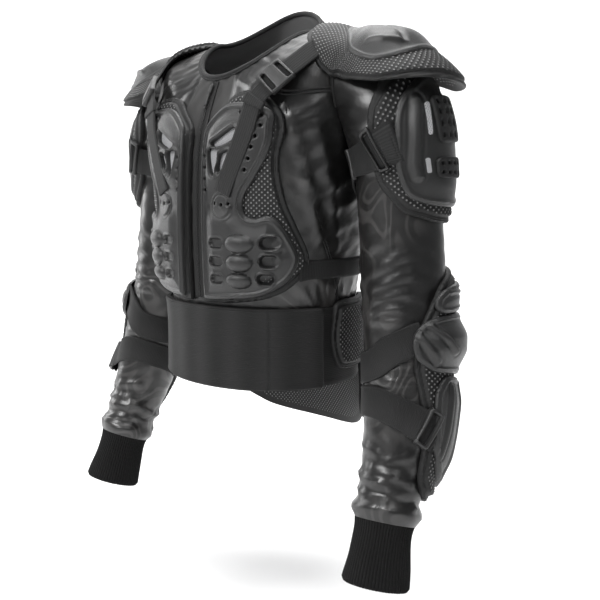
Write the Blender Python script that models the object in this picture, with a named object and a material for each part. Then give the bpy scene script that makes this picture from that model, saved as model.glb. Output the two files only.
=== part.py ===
"""Riding jacket with body armour: a stretch jacket that carries padded guards, shells and straps.

Metres, +Z up. The wearer faces -Y and the wearer's left is +X. The origin is on the body's axis at
the height of the shoulder points. A turn on the body counts from the front towards the left side,
and a turn on an arm counts from its outer side towards the front. Drops are shares of BODY_LENGTH
on the body and of ARM_DROP on an arm.
"""
import math

import bmesh
import bpy
import numpy as np

# Driving dimensions
BODY_LENGTH = 0.500
CHEST_WIDTH = 0.346
CHEST_FRONT = 0.122
CHEST_BACK = 0.115
ARM_DROP = 0.712
ARM_SPREAD = 0.268
ARM_FORWARD = 0.084
ARM_RADIUS = 0.062

# Walls and clearances
CLOTH = 0.0022
RIB_KNIT = 0.0030
BELT_CLOTH = 0.0034
FOAM = 0.0085
GUARD_SHELL = 0.0030
WEBBING = 0.0020
SEAT = 0.0016
ARM_SEAT = 0.0023
LOWER_STRAP_SEAT = 0.0018
CAP_SEAT = 0.0058
CAP_CLEAR = 0.0019
ZIP_SEAT = 0.0010
STACK_GAP = 0.0020
SLEEVE_SEAM = 0.0013
CUT_REACH = 0.0010
BELT_CLEAR = 0.0027
WING_CLEAR = 0.0017
FRONT_CLEAR = 0.0010
BUCKLE_CLEAR = 0.0008
SLIDE_CLEAR = 0.0003
BODY_SIDES = 28

# Fittings
ZIP_HALF_TURN = 3.2
ZIP_DROPS = (0.200, 0.770)
SLIDER_DROP = 0.222
ZIP_THICK = 0.0024
SLIDER = (0.0075, 0.0150, 0.0040)
CHEST_STRAP_WIDTH = 0.024
CHEST_BUCKLE = (0.034, 0.036, 0.0065)
ARM_STRAP_WIDTH = 0.036
ARM_SLIDE = (0.012, 0.044, 0.0060)
ARM_SLIDE_PLACE = (52.0, 0.262)
ELBOW_STRAP_WIDTH = 0.040
LOWER_STRAP_WIDTH = 0.036
ELBOW_BUCKLE = (0.018, 0.040, 0.0070)
ELBOW_BUCKLE_PLACE = (20.0, 0.732)
SIDE_STRAP_WIDTH = 0.024
SIDE_STRAP_DROP = 0.688
SIDE_STRAP_CLEAR = 1.2
SMALL_HOLE = 0.0042
VENT_HOLE = 0.0034

TORSO_COLUMNS = ("front_drop", "side_drop", "back_drop", "width", "fore", "aft", "square")
TORSO = (
    (0.186, 0.066, -0.024, 0.49, 0.72, 0.65, 2.0),
    (0.235, 0.078, 0.025, 0.70, 0.80, 0.80, 2.1),
    (0.290, 0.104, 0.090, 0.93, 0.89, 0.94, 2.25),
    (0.350, 0.235, 0.225, 1.00, 0.96, 1.01, 2.4),
    (0.450, 0.450, 0.450, 0.93, 1.00, 1.00, 2.45),
    (0.580, 0.580, 0.580, 0.88, 1.01, 0.96, 2.3),
    (0.700, 0.700, 0.700, 0.86, 1.00, 0.92, 2.15),
    (0.820, 0.820, 0.820, 0.80, 0.98, 0.90, 2.1),
    (1.000, 1.000, 1.000, 0.80, 0.97, 0.95, 2.1),
    (1.220, 1.220, 1.220, 0.80, 0.97, 1.00, 2.1),
)
HEM_ROW = 8

ARM_COLUMNS = ("drop", "out", "forward", "radius")
ARM = (
    (0.148, 0.450, -0.12, 0.88),
    (0.168, 0.680, -0.13, 0.92),
    (0.235, 0.790, -0.16, 0.92),
    (0.330, 0.828, -0.20, 0.86),
    (0.560, 0.885, -0.15, 0.85),
    (0.743, 0.955, 0.20, 0.76),
    (0.900, 0.985, 0.72, 0.56),
    (1.000, 1.000, 1.00, 0.66),
)
SLEEVE_END = 6.0
CUFF_END = 7.0
CUFF_SEAM = 0.006

# Rolls of the sleeve's cloth above the cuff: drop, height and half width, as shares
SLEEVE_FOLDS = (
    (0.842, 0.035, 0.010),
    (0.886, 0.120, 0.014),
)

PATCH_COLUMNS = ("inner_turn", "inner_drop", "outer_turn", "outer_drop")
CHEST_FOAM_ROWS = (
    (17.0, 0.290, 40.0, 0.236),
    (12.0, 0.304, 50.0, 0.266),
    (7.0, 0.380, 54.5, 0.338),
    (7.0, 0.450, 52.0, 0.422),
    (7.0, 0.525, 55.0, 0.520),
    (7.0, 0.600, 62.0, 0.596),
    (7.0, 0.668, 66.5, 0.666),
    (7.0, 0.712, 64.5, 0.704),
    (7.0, 0.752, 56.0, 0.744),
    (9.0, 0.776, 43.5, 0.766),
)
CHEST_SHELL_ROWS = (
    (15.0, 0.322, 46.0, 0.275),
    (11.5, 0.350, 51.0, 0.316),
    (10.0, 0.410, 44.5, 0.406),
    (9.5, 0.500, 35.5, 0.504),
    (9.5, 0.545, 46.0, 0.552),
    (9.5, 0.590, 56.0, 0.592),
    (9.5, 0.650, 61.5, 0.654),
    (9.5, 0.700, 59.0, 0.698),
    (9.8, 0.742, 51.0, 0.738),
    (11.5, 0.758, 43.0, 0.750),
)
CHEST_SHELL_STATIONS = (
    0.0, 0.6, 1.2, 2.0, 2.6, 3.0, 3.5, 4.2, 5.08, 5.47, 5.88, 6.34, 6.76, 7.18, 7.67, 8.3, 9.0,
)

# Bars across the chest plate's lower half: turn, drop and height in metres
CHEST_RIBS = ((30.5, 0.618, 0.0035), (30.5, 0.667, 0.0035), (30.5, 0.708, 0.0031))
RIB_REACH = (9.0, 0.017)

# Openings through the chest plate: turn, drop, width, height and lean of the foot
CHEST_VENTS = (
    (25.5, 0.348, 0.026, 0.011, -0.35),
    (19.5, 0.405, 0.013, 0.030, 0.10),
    (26.0, 0.412, 0.011, 0.022, 0.35),
)
CHEST_HOLES = (
    (12.8, 0.400), (12.8, 0.440), (12.8, 0.480), (42.5, 0.330),
    (39.0, 0.400), (18.0, 0.515), (22.0, 0.517), (26.0, 0.512),
)

BACK_COLUMNS = ("half_turn", "drop")
BACK_FOAM_ROWS = (
    (24.0, 0.230), (40.0, 0.330), (42.0, 0.450), (38.0, 0.600), (46.0, 0.730),
    (49.0, 0.870), (57.0, 1.000), (65.0, 1.080), (60.0, 1.135), (40.0, 1.190),
)

# Top and bottom drops of the back pad's wings, and their near and far turns from the spine
BACK_WING = (0.772, 0.960, 61.0, 98.0)
BELT_TOP = 0.792
BELT_RISE = (0.700, 0.772)
BELT_FRONT_TURN = 77.0
BELT_FRONT_OVER = 0.004

# Plates down the spine: name, top and bottom drop, half turn and clearance over the pad
BACK_DOME = 0.0040
BACK_PLATES = (
    ("back_plate_1", 0.290, 0.375, 27.0, 0.0009),
    ("back_plate_2", 0.400, 0.495, 30.0, 0.0009),
    ("back_plate_3", 0.520, 0.615, 28.0, 0.0009),
    ("back_plate_4", 0.640, 0.745, 30.0, 0.0025),
    ("back_plate_5", 0.790, 0.940, 38.0, 0.0012),
)

# The cap's centre as shares of the arm's spread, the back's depth and the arm's drop
SHOULDER_CENTRE = (0.62, 0.02, -0.185)
CAP_REACH = (0.010, 0.160)

# Furthest tilt and turn of the cap's surface, and how many powers of each it is made of
CAP_SPAN = (82.0, 60.0)
CAP_POWERS = 8

# A row's place is a tilt on the shoulder and a drop on the arm
GUARD_COLUMNS = ("place", "front_turn", "back_turn")
SHOULDER_FOAM_ROWS = (
    (-27.0, 18.0, -16.0),
    (-15.0, 38.0, -26.0),
    (2.0, 51.0, -40.0),
    (22.0, 58.0, -52.0),
    (42.0, 58.0, -58.0),
    (60.0, 50.0, -57.0),
    (73.0, 32.0, -54.0),
    (80.0, 6.0, -46.0),
)
SHOULDER_SHELL_ROWS = (
    (-4.0, 12.0, -16.0),
    (6.0, 26.0, -30.0),
    (20.0, 33.0, -38.0),
    (38.0, 31.0, -42.0),
    (54.0, 16.0, -38.0),
    (62.0, 2.0, -32.0),
)
SHOULDER_FLARE = 0.030
FLARE_RANGE = (15.0, 72.0)
SHOULDER_DOME = 0.010

ARM_FOAM_ROWS = (
    (0.185, 38.0, -70.0),
    (0.240, 50.0, -82.0),
    (0.320, 60.0, -88.0),
    (0.360, 46.0, -76.0),
    (0.393, 10.0, -44.0),
)
ARM_SHELL_ROWS = (
    (0.205, 26.0, -56.0),
    (0.255, 38.0, -64.0),
    (0.315, 42.0, -66.0),
    (0.350, 32.0, -56.0),
    (0.374, 6.0, -34.0),
)

# Pierced blocks on the arm shell: name, drop, width, height, rows and columns of holes, clearance
ARM_VENTS = (
    ("arm_vent_upper", 0.2460, 0.046, 0.038, 3, 3, 0.0011),
    ("arm_vent_lower", 0.3220, 0.040, 0.024, 2, 3, 0.0006),
)
VENT_TURN = -16.0
VENT_BLOCK = 0.0045

ELBOW_FOAM_ROWS = (
    (0.478, 12.0, -100.0), (0.520, 28.0, -122.0), (0.570, 38.0, -134.0), (0.640, 36.0, -134.0),
    (0.700, 24.0, -120.0), (0.770, 20.0, -116.0), (0.820, 8.0, -104.0), (0.848, -12.0, -84.0),
)

# Hard pieces of the elbow: name, top and bottom drop, front and back turn, dome and clearance
ELBOW_PLATES = (
    ("elbow_top_plate", 0.496, 0.546, 20.0, -106.0, 0.0010, 0.0011),
    ("elbow_cup", 0.556, 0.640, 30.0, -122.0, 0.0100, 0.0016),
    ("forearm_shell", 0.664, 0.826, 9.0, -100.0, 0.0040, 0.0012),
)

# Centre lines of the straps round an arm: turn, drop and the share of a pad's thickness under them
BAND_COLUMNS = ("turn", "drop", "on_pad")
ARM_STRAP_LINE = (
    (46.0, 0.258, 1.0), (60.0, 0.268, 1.0), (74.0, 0.278, 0.0),
    (110.0, 0.312, 0.0), (145.0, 0.354, 0.0), (185.0, 0.376, 0.0),
    (225.0, 0.350, 0.0), (255.0, 0.318, 0.0), (268.0, 0.306, 0.0),
)
UPPER_STRAP_LINE = (
    (41.5, 0.606, 0.0), (75.0, 0.628, 0.0), (105.0, 0.652, 0.0),
    (150.0, 0.655, 0.0), (190.0, 0.640, 0.0), (222.0, 0.615, 0.0),
)
LOWER_STRAP_LINE = (
    (17.0, 0.734, 1.0), (28.0, 0.730, 1.0), (42.0, 0.728, 0.0), (70.0, 0.720, 0.0),
    (105.0, 0.714, 0.0), (150.0, 0.714, 0.0), (195.0, 0.720, 0.0), (234.0, 0.732, 0.0),
)

# Chest strap from the shoulder guard down over the plate: turn, drop and lift over the cloth
CHEST_STRAP_COLUMNS = ("turn", "drop", "lift")
CHEST_STRAP_LINE = (
    (86.0, 0.080, 0.0210),
    (68.0, 0.140, 0.0210),
    (58.0, 0.190, 0.0172),
    (50.0, 0.235, 0.0184),
    (42.0, 0.285, 0.0194),
    (37.5, 0.345, 0.0184),
    (31.0, 0.420, 0.0166),
    (25.0, 0.490, 0.0156),
)
BUCKLE_STATION = 3.1
BUCKLE_AIM = 0.4

# Tone, roughness and metallic value of each finish
FINISHES = {
    "stretch": (0.030, 0.42, 0.0),
    "knit": (0.022, 0.90, 0.0),
    "foam": (0.020, 0.72, 0.0),
    "shell": (0.026, 0.38, 0.0),
    "webbing": (0.018, 0.80, 0.0),
    "elastic": (0.022, 0.78, 0.0),
    "buckle": (0.020, 0.45, 0.0),
    "zip": (0.050, 0.40, 0.6),
}


def smooth(rows, column, at):
    """Reads a column along a smooth curve through its rows; at counts rows from 0."""
    values = np.array([row[column] for row in rows], float)
    at = np.clip(np.asarray(at, float), 0, len(values) - 1)
    low = np.minimum(at.astype(int), len(values) - 2)
    share = at - low
    slopes = np.gradient(values)
    start, end = values[low], values[low + 1]
    bend = 3 * share**2 - 2 * share**3
    lead = share**3 - 2 * share**2 + share
    trail = share**3 - share**2
    return start * (1 - bend) + end * bend + slopes[low] * lead + slopes[low + 1] * trail


def read(rows, names, at):
    """Every column of a table along its rows."""
    return [smooth(rows, names.index(name), at) for name in names]


def torso(name, row):
    return smooth(TORSO, TORSO_COLUMNS.index(name), row)


def arm(name, row):
    return smooth(ARM, ARM_COLUMNS.index(name), row)


def unit(vectors):
    return vectors / np.linalg.norm(vectors, axis=-1, keepdims=True)


def torso_drop(turn, row):
    """Share of the body's length at a turn on a section row: sections tilt up to the back."""
    fore = np.cos(turn)
    side = torso("side_drop", row)
    end = np.where(fore > 0, torso("front_drop", row), torso("back_drop", row))
    return side + (end - side) * np.abs(fore) ** 1.6


def torso_radius(turn, row):
    """Distance from the body's axis to the cloth on a squared oval."""
    half_width = torso("width", row) * CHEST_WIDTH / 2
    depth = np.where(
        np.cos(turn) > 0, torso("fore", row) * CHEST_FRONT, torso("aft", row) * CHEST_BACK
    )
    power = torso("square", row)
    across = (np.abs(np.sin(turn)) / half_width) ** power
    along = (np.abs(np.cos(turn)) / depth) ** power
    return (across + along) ** (-1 / power)


def torso_skin(turn, row):
    radius = torso_radius(turn, row)
    drop = BODY_LENGTH * torso_drop(turn, row)
    return np.stack([radius * np.sin(turn), -radius * np.cos(turn), -drop], -1)


def torso_lifted(turn, row, lift):
    """A point over the body's cloth, out along the cloth's normal."""
    step = 1e-3
    across = torso_skin(turn + step, row) - torso_skin(turn - step, row)
    low, high = np.maximum(row - step, 0), np.minimum(row + step, len(TORSO) - 1)
    along = torso_skin(turn, high) - torso_skin(turn, low)
    normal = unit(np.cross(along, across))
    return torso_skin(turn, row) + normal * np.asarray(lift)[..., None]


def torso_row(turn, drop):
    """The section row whose cloth passes a drop at a turn, found by halving."""
    low = np.zeros(np.broadcast(turn, drop).shape)
    high = np.full(low.shape, float(len(TORSO) - 1))
    for _ in range(40):
        middle = (low + high) / 2
        above = torso_drop(turn, middle) < drop
        low, high = np.where(above, middle, low), np.where(above, high, middle)
    return (low + high) / 2


def on_torso(turn, drop, lift):
    """Body point at a turn in degrees and a drop share, lifted off the cloth."""
    turn, drop, lift = np.broadcast_arrays(np.radians(turn), np.asarray(drop, float), lift)
    return torso_lifted(turn, torso_row(turn, drop), lift)


def inside_torso(points, grow):
    turn = np.arctan2(points[..., 0], -points[..., 1])
    row = torso_row(turn, -points[..., 2] / BODY_LENGTH)
    return np.hypot(points[..., 0], points[..., 1]) < torso_radius(turn, row) + grow


def arm_centre(row):
    out, forward, drop = arm("out", row), arm("forward", row), arm("drop", row)
    return np.stack([ARM_SPREAD * out, -ARM_FORWARD * forward, -ARM_DROP * drop], -1)


def arm_frame(row):
    """Directions along, out of and before the arm at a row."""
    step = 1e-3
    low, high = np.maximum(row - step, 0), np.minimum(row + step, len(ARM) - 1)
    down = unit(arm_centre(high) - arm_centre(low))
    out = unit(np.array([1.0, 0.0, 0.0]) - down * down[..., :1])
    return down, out, np.cross(down, out)


def arm_radius(row):
    """Radius of the sleeve with its folds above the cuff."""
    radius = ARM_RADIUS * arm("radius", row)
    drop = arm("drop", row)
    for centre, height, spread in SLEEVE_FOLDS:
        radius = radius + ARM_RADIUS * height * np.exp(-(((drop - centre) / spread) ** 2))
    return radius


def arm_skin(turn, row, lift):
    _, out, front = arm_frame(row)
    radius = (arm_radius(row) + lift)[..., None]
    return arm_centre(row) + radius * (np.cos(turn)[..., None] * out + np.sin(turn)[..., None] * front)


def on_arm(turn, drop, lift):
    """Arm point at a turn in degrees and a drop share, lifted off the sleeve."""
    turn, drop, lift = np.broadcast_arrays(np.radians(turn), np.asarray(drop, float), lift)
    return arm_skin(turn, arm_row(drop), np.asarray(lift, float))


def arm_row(drop):
    rows = np.linspace(0, len(ARM) - 1, 400)
    return np.interp(drop, arm("drop", rows), rows)


def inside_arm(points):
    """Whether points lie within the sleeve near the shoulder."""
    rows = np.linspace(0, 4, 60)
    centres, radii = arm_centre(rows), arm_radius(rows)
    offsets = points[..., None, :] - centres
    return (np.linalg.norm(offsets, axis=-1) < radii).any(axis=-1)


def cap_way(tilt, turn):
    """Direction from the cap's centre: tilt leans from up to outward, turn leans forward."""
    tilt, turn = np.radians(tilt), np.radians(turn)
    return np.stack([np.sin(tilt) * np.cos(turn), -np.sin(turn), np.cos(tilt) * np.cos(turn)], -1)


def cap_centre():
    return np.array(SHOULDER_CENTRE) * (ARM_SPREAD, CHEST_BACK, ARM_DROP)


def cap_terms(tilt, turn):
    """Products of powers that the cap's height over its centre is a sum of."""
    high, wide = tilt / CAP_SPAN[0], turn / CAP_SPAN[1]
    return np.stack([high**i * wide**j for i in range(CAP_POWERS) for j in range(CAP_POWERS - i)], -1)


def cap_heights():
    """Weights of those products, fitted to where rays from the cap's centre leave the cloth."""
    turn, tilt = np.meshgrid(np.linspace(-CAP_SPAN[1], CAP_SPAN[1], 22), np.linspace(-30, CAP_SPAN[0], 22))
    reach = np.linspace(*CAP_REACH, 140)
    points = cap_centre() + cap_way(tilt, turn)[..., None, :] * reach[:, None]
    covered = inside_torso(points, 0.0) | inside_arm(points)
    surface = np.where(covered, reach, 0).max(axis=-1)
    terms = cap_terms(tilt, turn)
    return np.linalg.lstsq(terms.reshape(-1, terms.shape[-1]), surface.ravel(), rcond=None)[0]


def on_shoulder(tilt, turn, lift, heights):
    """Point of the cap over the shoulder, on a smooth surface over the cloth."""
    tilt, turn, lift = np.broadcast_arrays(tilt, turn, lift)
    surface = cap_terms(tilt, turn) @ heights
    return cap_centre() + cap_way(tilt, turn) * (surface + lift)[..., None]


def patch_net(rows, stations, columns):
    """Turns and drops over a patch whose outline is a table of inner and outer points."""
    inner_turn, inner_drop, outer_turn, outer_drop = (
        value[:, None] for value in read(rows, PATCH_COLUMNS, stations)
    )
    share = np.linspace(0, 1, columns)[None, :]
    turn = inner_turn + (outer_turn - inner_turn) * share
    return turn, inner_drop + (outer_drop - inner_drop) * share


def band_net(rows, stations, columns):
    """Places over a patch whose rows give a place along and the turns of both edges."""
    place, front, back = (value[:, None] for value in read(rows, GUARD_COLUMNS, stations))
    share = np.linspace(0, 1, columns)[None, :]
    return front + (back - front) * share, place + 0 * share


def stations(rows, count):
    return np.linspace(0, len(rows) - 1, count)


def padded_lift(shape, low, high, rim=0.45):
    """Outer lifts of a pad: full inside and thinner at its bound edge."""
    lift = np.full(shape, high)
    edge = low + (high - low) * rim
    lift[0, :] = lift[-1, :] = edge
    lift[:, 0] = lift[:, -1] = edge
    return lift


def domed_lift(shape, low, thick, dome):
    """Inner and outer lifts of a shell that stands off its pad towards its middle."""
    along = np.sin(np.linspace(0, math.pi, shape[0]))[:, None]
    across = np.sin(np.linspace(0, math.pi, shape[1]))[None, :]
    rise = dome * (along * across) ** 0.7
    return low + rise, low + thick + rise


def finish(name):
    """The finish's own material: dark colour, roughness and metallic value."""
    tone, roughness, metallic = FINISHES[name]
    made = bpy.data.materials.new(name)
    made.use_nodes = True
    shader = made.node_tree.nodes["Principled BSDF"]
    shader.inputs["Base Color"].default_value = (tone, tone, tone, 1.0)
    shader.inputs["Roughness"].default_value = roughness
    shader.inputs["Metallic"].default_value = metallic
    return made


def add_body(name, points, faces, look, side=1):
    """Makes one closed body of points and faces, mirrored to the right arm's side if asked."""
    mesh = bpy.data.meshes.new(name)
    mesh.from_pydata([(side * x, y, z) for x, y, z in points], [], faces)
    work = bmesh.new()
    work.from_mesh(mesh)
    bmesh.ops.recalc_face_normals(work, faces=work.faces)
    work.to_mesh(mesh)
    work.free()
    mesh.shade_smooth()
    mesh.set_sharp_from_angle(angle=math.radians(40))
    made = bpy.data.objects.new(name, mesh)
    bpy.context.collection.objects.link(made)
    mesh.materials.append(finish(look))
    return made


def slab_faces(rows, columns, closed):
    """Faces of two nets with the same rows and columns, joined round their edges."""
    layer = rows * columns
    across = columns if closed else columns - 1
    faces = []
    for i in range(rows - 1):
        for j in range(across):
            k = (j + 1) % columns
            a, b, c, d = i * columns + j, i * columns + k, (i + 1) * columns + k, (i + 1) * columns + j
            faces += [(a, b, c, d), (a + layer, d + layer, c + layer, b + layer)]
    for j in range(across):
        k = (j + 1) % columns
        last = (rows - 1) * columns
        faces += [(j, j + layer, k + layer, k)]
        faces += [(last + j, last + k, last + k + layer, last + j + layer)]
    if not closed:
        for i in range(rows - 1):
            for edge in (0, columns - 1):
                a, b = i * columns + edge, (i + 1) * columns + edge
                faces.append((a, b, b + layer, a + layer))
    return faces


def slab(name, outer, inner, look, side=1, closed=False):
    """A sheet with thickness between an outer and an inner net of points."""
    rows, columns = outer.shape[:2]
    points = np.concatenate([outer.reshape(-1, 3), inner.reshape(-1, 3)])
    return add_body(name, points.tolist(), slab_faces(rows, columns, closed), look, side)


def block_points(centre, along, normal, size):
    """Corners of a block that stands on a surface: size is across, along and thick."""
    across = np.cross(along, normal)
    corners = []
    for lift in (0, size[2]):
        for a, b in ((-1, -1), (1, -1), (1, 1), (-1, 1)):
            corners.append(centre + across * a * size[0] / 2 + along * b * size[1] / 2 + normal * lift)
    return corners


BLOCK_FACES = ((0, 3, 2, 1), (4, 5, 6, 7), (0, 1, 5, 4), (1, 2, 6, 5), (2, 3, 7, 6), (3, 0, 4, 7))


def block(name, centre, along, normal, size, look, side=1):
    return add_body(name, block_points(centre, along, normal, size), BLOCK_FACES, look, side)


def window(name, centre, along, normal, size, look, side=1):
    """A flat frame with one opening, as a ladder slide has, whose bars are a quarter of its size."""
    across = np.cross(along, normal)
    outer_ring = [(-1, -1), (1, -1), (1, 1), (-1, 1)]
    points = []
    for lift in (0, size[2]):
        for reach in (1.0, 0.5):
            for a, b in outer_ring:
                flat = across * a * size[0] / 2 * reach + along * b * size[1] / 2 * reach
                points.append(centre + flat + normal * lift)
    faces = []
    for j in range(4):
        k = (j + 1) % 4
        faces += [(j, 4 + j, 4 + k, k), (8 + j, 8 + k, 12 + k, 12 + j)]
        faces += [(j, k, 8 + k, 8 + j), (4 + j, 12 + j, 12 + k, 4 + k)]
    return add_body(name, points, faces, look, side)


def surface_place(place, turn, drop, lift):
    """A point over a surface, with the directions along it and out of it."""
    step = 0.004
    here = place(turn, drop, lift)
    below = place(turn, drop + step, lift)
    beside = place(turn + 1.0, drop, lift)
    along = unit(below - here)
    normal = unit(np.cross(along, beside - here))
    if (place(turn, drop, lift + 0.01) - here) @ normal < 0:
        normal = -normal
    return here, along, normal


def cutter(name, prisms, side):
    """One guide object of many prisms, which a Boolean takes away."""
    points, faces = [], []
    for ring_low, ring_high in prisms:
        start, count = len(points), len(ring_low)
        points += [*ring_low, *ring_high]
        faces.append(tuple(start + k for k in range(count))[::-1])
        faces.append(tuple(start + count + k for k in range(count)))
        for k in range(count):
            n = (k + 1) % count
            faces.append((start + k, start + n, start + count + n, start + count + k))
    made = add_body(name, points, faces, "shell", side)
    made.hide_render = True
    made.display_type = "WIRE"
    return made


def take_away(piece, guide):
    cut = piece.modifiers.new("cut", "BOOLEAN")
    cut.operation = "DIFFERENCE"
    cut.solver = "EXACT"
    cut.object = guide


def prism(place, turn, drop, low, high, outline):
    """A prism through a shell; its outline is in metres across and along the surface."""
    rings = []
    here, along, normal = surface_place(place, turn, drop, (low + high) / 2)
    across = np.cross(along, normal)
    for lift in (low, high):
        base = here + normal * (lift - (low + high) / 2)
        rings.append([base + across * a + along * b for a, b in outline])
    return rings


def round_outline(radius, sides):
    turns = np.arange(sides) * math.tau / sides + math.pi / sides
    return [(radius * math.cos(t), radius * math.sin(t)) for t in turns]


def leaning_outline(width, height, lean):
    """A vent with a straight top, narrower and shifted at its foot."""
    foot = width * lean
    return [
        (-width / 2, -height / 2),
        (width / 2, -height / 2),
        (width / 4 + foot, height / 2),
        (-width / 4 + foot, height / 2),
    ]


def jacket_body():
    """Stretch torso with open neck, hem and armholes."""
    turns = np.radians(np.linspace(0, 360, BODY_SIDES, False))[None, :]
    rows = np.array([0, 0.5, 1, 1.5, 1.9, 2.2, 2.5, 3, 4, 5, 6, 7, HEM_ROW - 0.06])[:, None]
    turn, row = np.broadcast_arrays(turns, rows)
    outer = torso_lifted(turn, row, np.zeros(row.shape))
    inner = torso_lifted(turn, row, np.full(row.shape, -CLOTH))
    made = slab("jacket_body", outer, inner, "stretch", closed=True)
    for side, word in ((1, "left"), (-1, "right")):
        take_away(made, armhole_cutter(f"armhole_{word}", side))


def armhole_cutter(name, side):
    """The sleeve's inner space from inside the body to past the cloth, as one closed guide."""
    turn, row = np.meshgrid(np.radians(np.arange(0, 360, 15)), np.linspace(0, 4.2, 9))
    ring = arm_skin(turn, row, np.full(row.shape, -CLOTH))
    rows, columns = row.shape
    points = ring.reshape(-1, 3).tolist()
    faces = [tuple(range(columns))[::-1], tuple(range((rows - 1) * columns, rows * columns))]
    for i in range(rows - 1):
        for j in range(columns):
            k = (j + 1) % columns
            faces.append((i * columns + j, i * columns + k, (i + 1) * columns + k, (i + 1) * columns + j))
    made = add_body(name, points, faces, "stretch", side)
    made.hide_render = True
    made.display_type = "WIRE"
    return made


def sleeve_start(turn, lift):
    """The row at each turn where the sleeve's cloth leaves the body's cloth."""
    rows = np.linspace(0, 4.2, 500)
    net_turn, net_row = np.meshgrid(turn, rows)
    points = arm_skin(net_turn, net_row, np.full(net_row.shape, lift))
    within = inside_torso(points, SLEEVE_SEAM)
    return rows[np.where(within, np.arange(len(rows))[:, None], 0).max(axis=0)]


def sleeve(side, word):
    """Sleeve from the armhole to the cuff, with the rolls of cloth above the cuff."""
    turn = np.radians(np.arange(0, 360, 22.5))
    shares = np.array([0, 0.11, 0.22, 0.34, 0.46, 0.58, 0.70, 0.82, 0.895, 0.94, 0.975, 1.0])[:, None]
    nets = []
    for lift in (0.0, -CLOTH):
        start = sleeve_start(turn, lift)[None, :]
        row = start + (SLEEVE_END - start) * shares
        nets.append(arm_skin(turn + 0 * row, row, np.full(row.shape, lift)))
    slab(f"sleeve_{word}", nets[0], nets[1], "stretch", side, closed=True)


def cuff(side, word):
    """Ribbed cuff that flares a little at its open end."""
    turn = np.radians(np.arange(0, 360, 22.5))
    turn, row = np.meshgrid(turn, np.linspace(SLEEVE_END + CUFF_SEAM, CUFF_END, 2))
    outer = arm_skin(turn, row, np.zeros(row.shape))
    inner = arm_skin(turn, row, np.full(row.shape, -RIB_KNIT))
    slab(f"cuff_{word}", outer, inner, "knit", side, closed=True)


def front_zip():
    """Zip down the front from the neck to the belt, with its slider at the top."""
    turn, drop = np.meshgrid((-ZIP_HALF_TURN, ZIP_HALF_TURN), np.linspace(*ZIP_DROPS, 13))
    outer = on_torso(turn, drop, ZIP_SEAT + ZIP_THICK)
    slab("front_zip", outer, on_torso(turn, drop, ZIP_SEAT), "zip")
    seat = ZIP_SEAT + ZIP_THICK + BUCKLE_CLEAR
    here, along, normal = surface_place(on_torso, 0.0, SLIDER_DROP, seat)
    block("zip_slider", here, along, normal, SLIDER, "zip")


def chest_guard(side, word):
    """Foam pad with a vented hard plate on it."""
    turn, drop = patch_net(CHEST_FOAM_ROWS, stations(CHEST_FOAM_ROWS, 13), 7)
    outer = on_torso(turn, drop, padded_lift(turn.shape, SEAT, SEAT + FOAM))
    slab(f"chest_foam_{word}", outer, on_torso(turn, drop, SEAT), "foam", side)
    turn, drop = patch_net(CHEST_SHELL_ROWS, np.array(CHEST_SHELL_STATIONS), 7)
    low = SEAT + FOAM + STACK_GAP
    top = padded_lift(turn.shape, low, low + GUARD_SHELL, 0.6) + chest_ribs(turn, drop)
    plate = slab(f"chest_shell_{word}", on_torso(turn, drop, top), on_torso(turn, drop, low), "shell", side)
    take_away(plate, cutter(f"chest_openings_{word}", chest_openings(low), side))


def chest_ribs(turn, drop):
    """Rounded bars across the plate's lower half."""
    rise = np.zeros(turn.shape)
    for rib_turn, rib_drop, height in CHEST_RIBS:
        reach = ((turn - rib_turn) / RIB_REACH[0]) ** 2 + ((drop - rib_drop) / RIB_REACH[1]) ** 2
        rise += height * np.exp(-reach)
    return rise


def chest_openings(low):
    prisms = []
    bottom, top = low - STACK_GAP / 2, low + 2 * GUARD_SHELL
    for turn, drop, width, height, lean in CHEST_VENTS:
        prisms.append(prism(on_torso, turn, drop, bottom, top, leaning_outline(width, height, lean)))
    for turn, drop in CHEST_HOLES:
        prisms.append(prism(on_torso, turn, drop, bottom, top, round_outline(SMALL_HOLE / 2, 4)))
    return prisms


def ribbon(name, line, width, thick, look, side, count):
    """A flat strap along a line of turns, drops and lifts over the body."""
    places = np.linspace(0, len(line) - 1, count)
    turn, drop, lift = read(line, CHEST_STRAP_COLUMNS, places)
    centre = on_torso(turn, drop, lift)
    forward = unit(np.gradient(centre, axis=0))
    normal = unit(on_torso(turn, drop, lift + 0.01) - centre)
    across = unit(np.cross(forward, normal))
    normal = np.cross(across, forward)
    share = np.linspace(-0.5, 0.5, 3)[None, :, None]
    inner = centre[:, None, :] + across[:, None, :] * width * share
    slab(name, inner + normal[:, None, :] * thick, inner, look, side)


def chest_strap(side, word):
    """Webbing from the shoulder guard over the plate, with its ladder slide."""
    ribbon(f"chest_strap_{word}", CHEST_STRAP_LINE, CHEST_STRAP_WIDTH, WEBBING, "webbing", side, 12)
    turn, drop, lift = read(CHEST_STRAP_LINE, CHEST_STRAP_COLUMNS, BUCKLE_STATION)
    seat = lift + WEBBING + BUCKLE_CLEAR
    here, _, normal = surface_place(on_torso, turn, drop, seat)
    ahead = read(CHEST_STRAP_LINE, CHEST_STRAP_COLUMNS, BUCKLE_STATION + BUCKLE_AIM)
    along = on_torso(ahead[0], ahead[1], seat) - here
    along = unit(along - normal * (along @ normal))
    window(f"chest_buckle_{word}", here, along, normal, CHEST_BUCKLE, "buckle", side)


def flare(tilt, turn):
    """How far the cap stands off the arm: more towards its outer and rear edge."""
    share = np.clip((tilt - FLARE_RANGE[0]) / (FLARE_RANGE[1] - FLARE_RANGE[0]), 0, 1.2)
    return SHOULDER_FLARE * share**1.2 * (1 - 0.3 * np.sin(np.radians(turn)))


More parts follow.
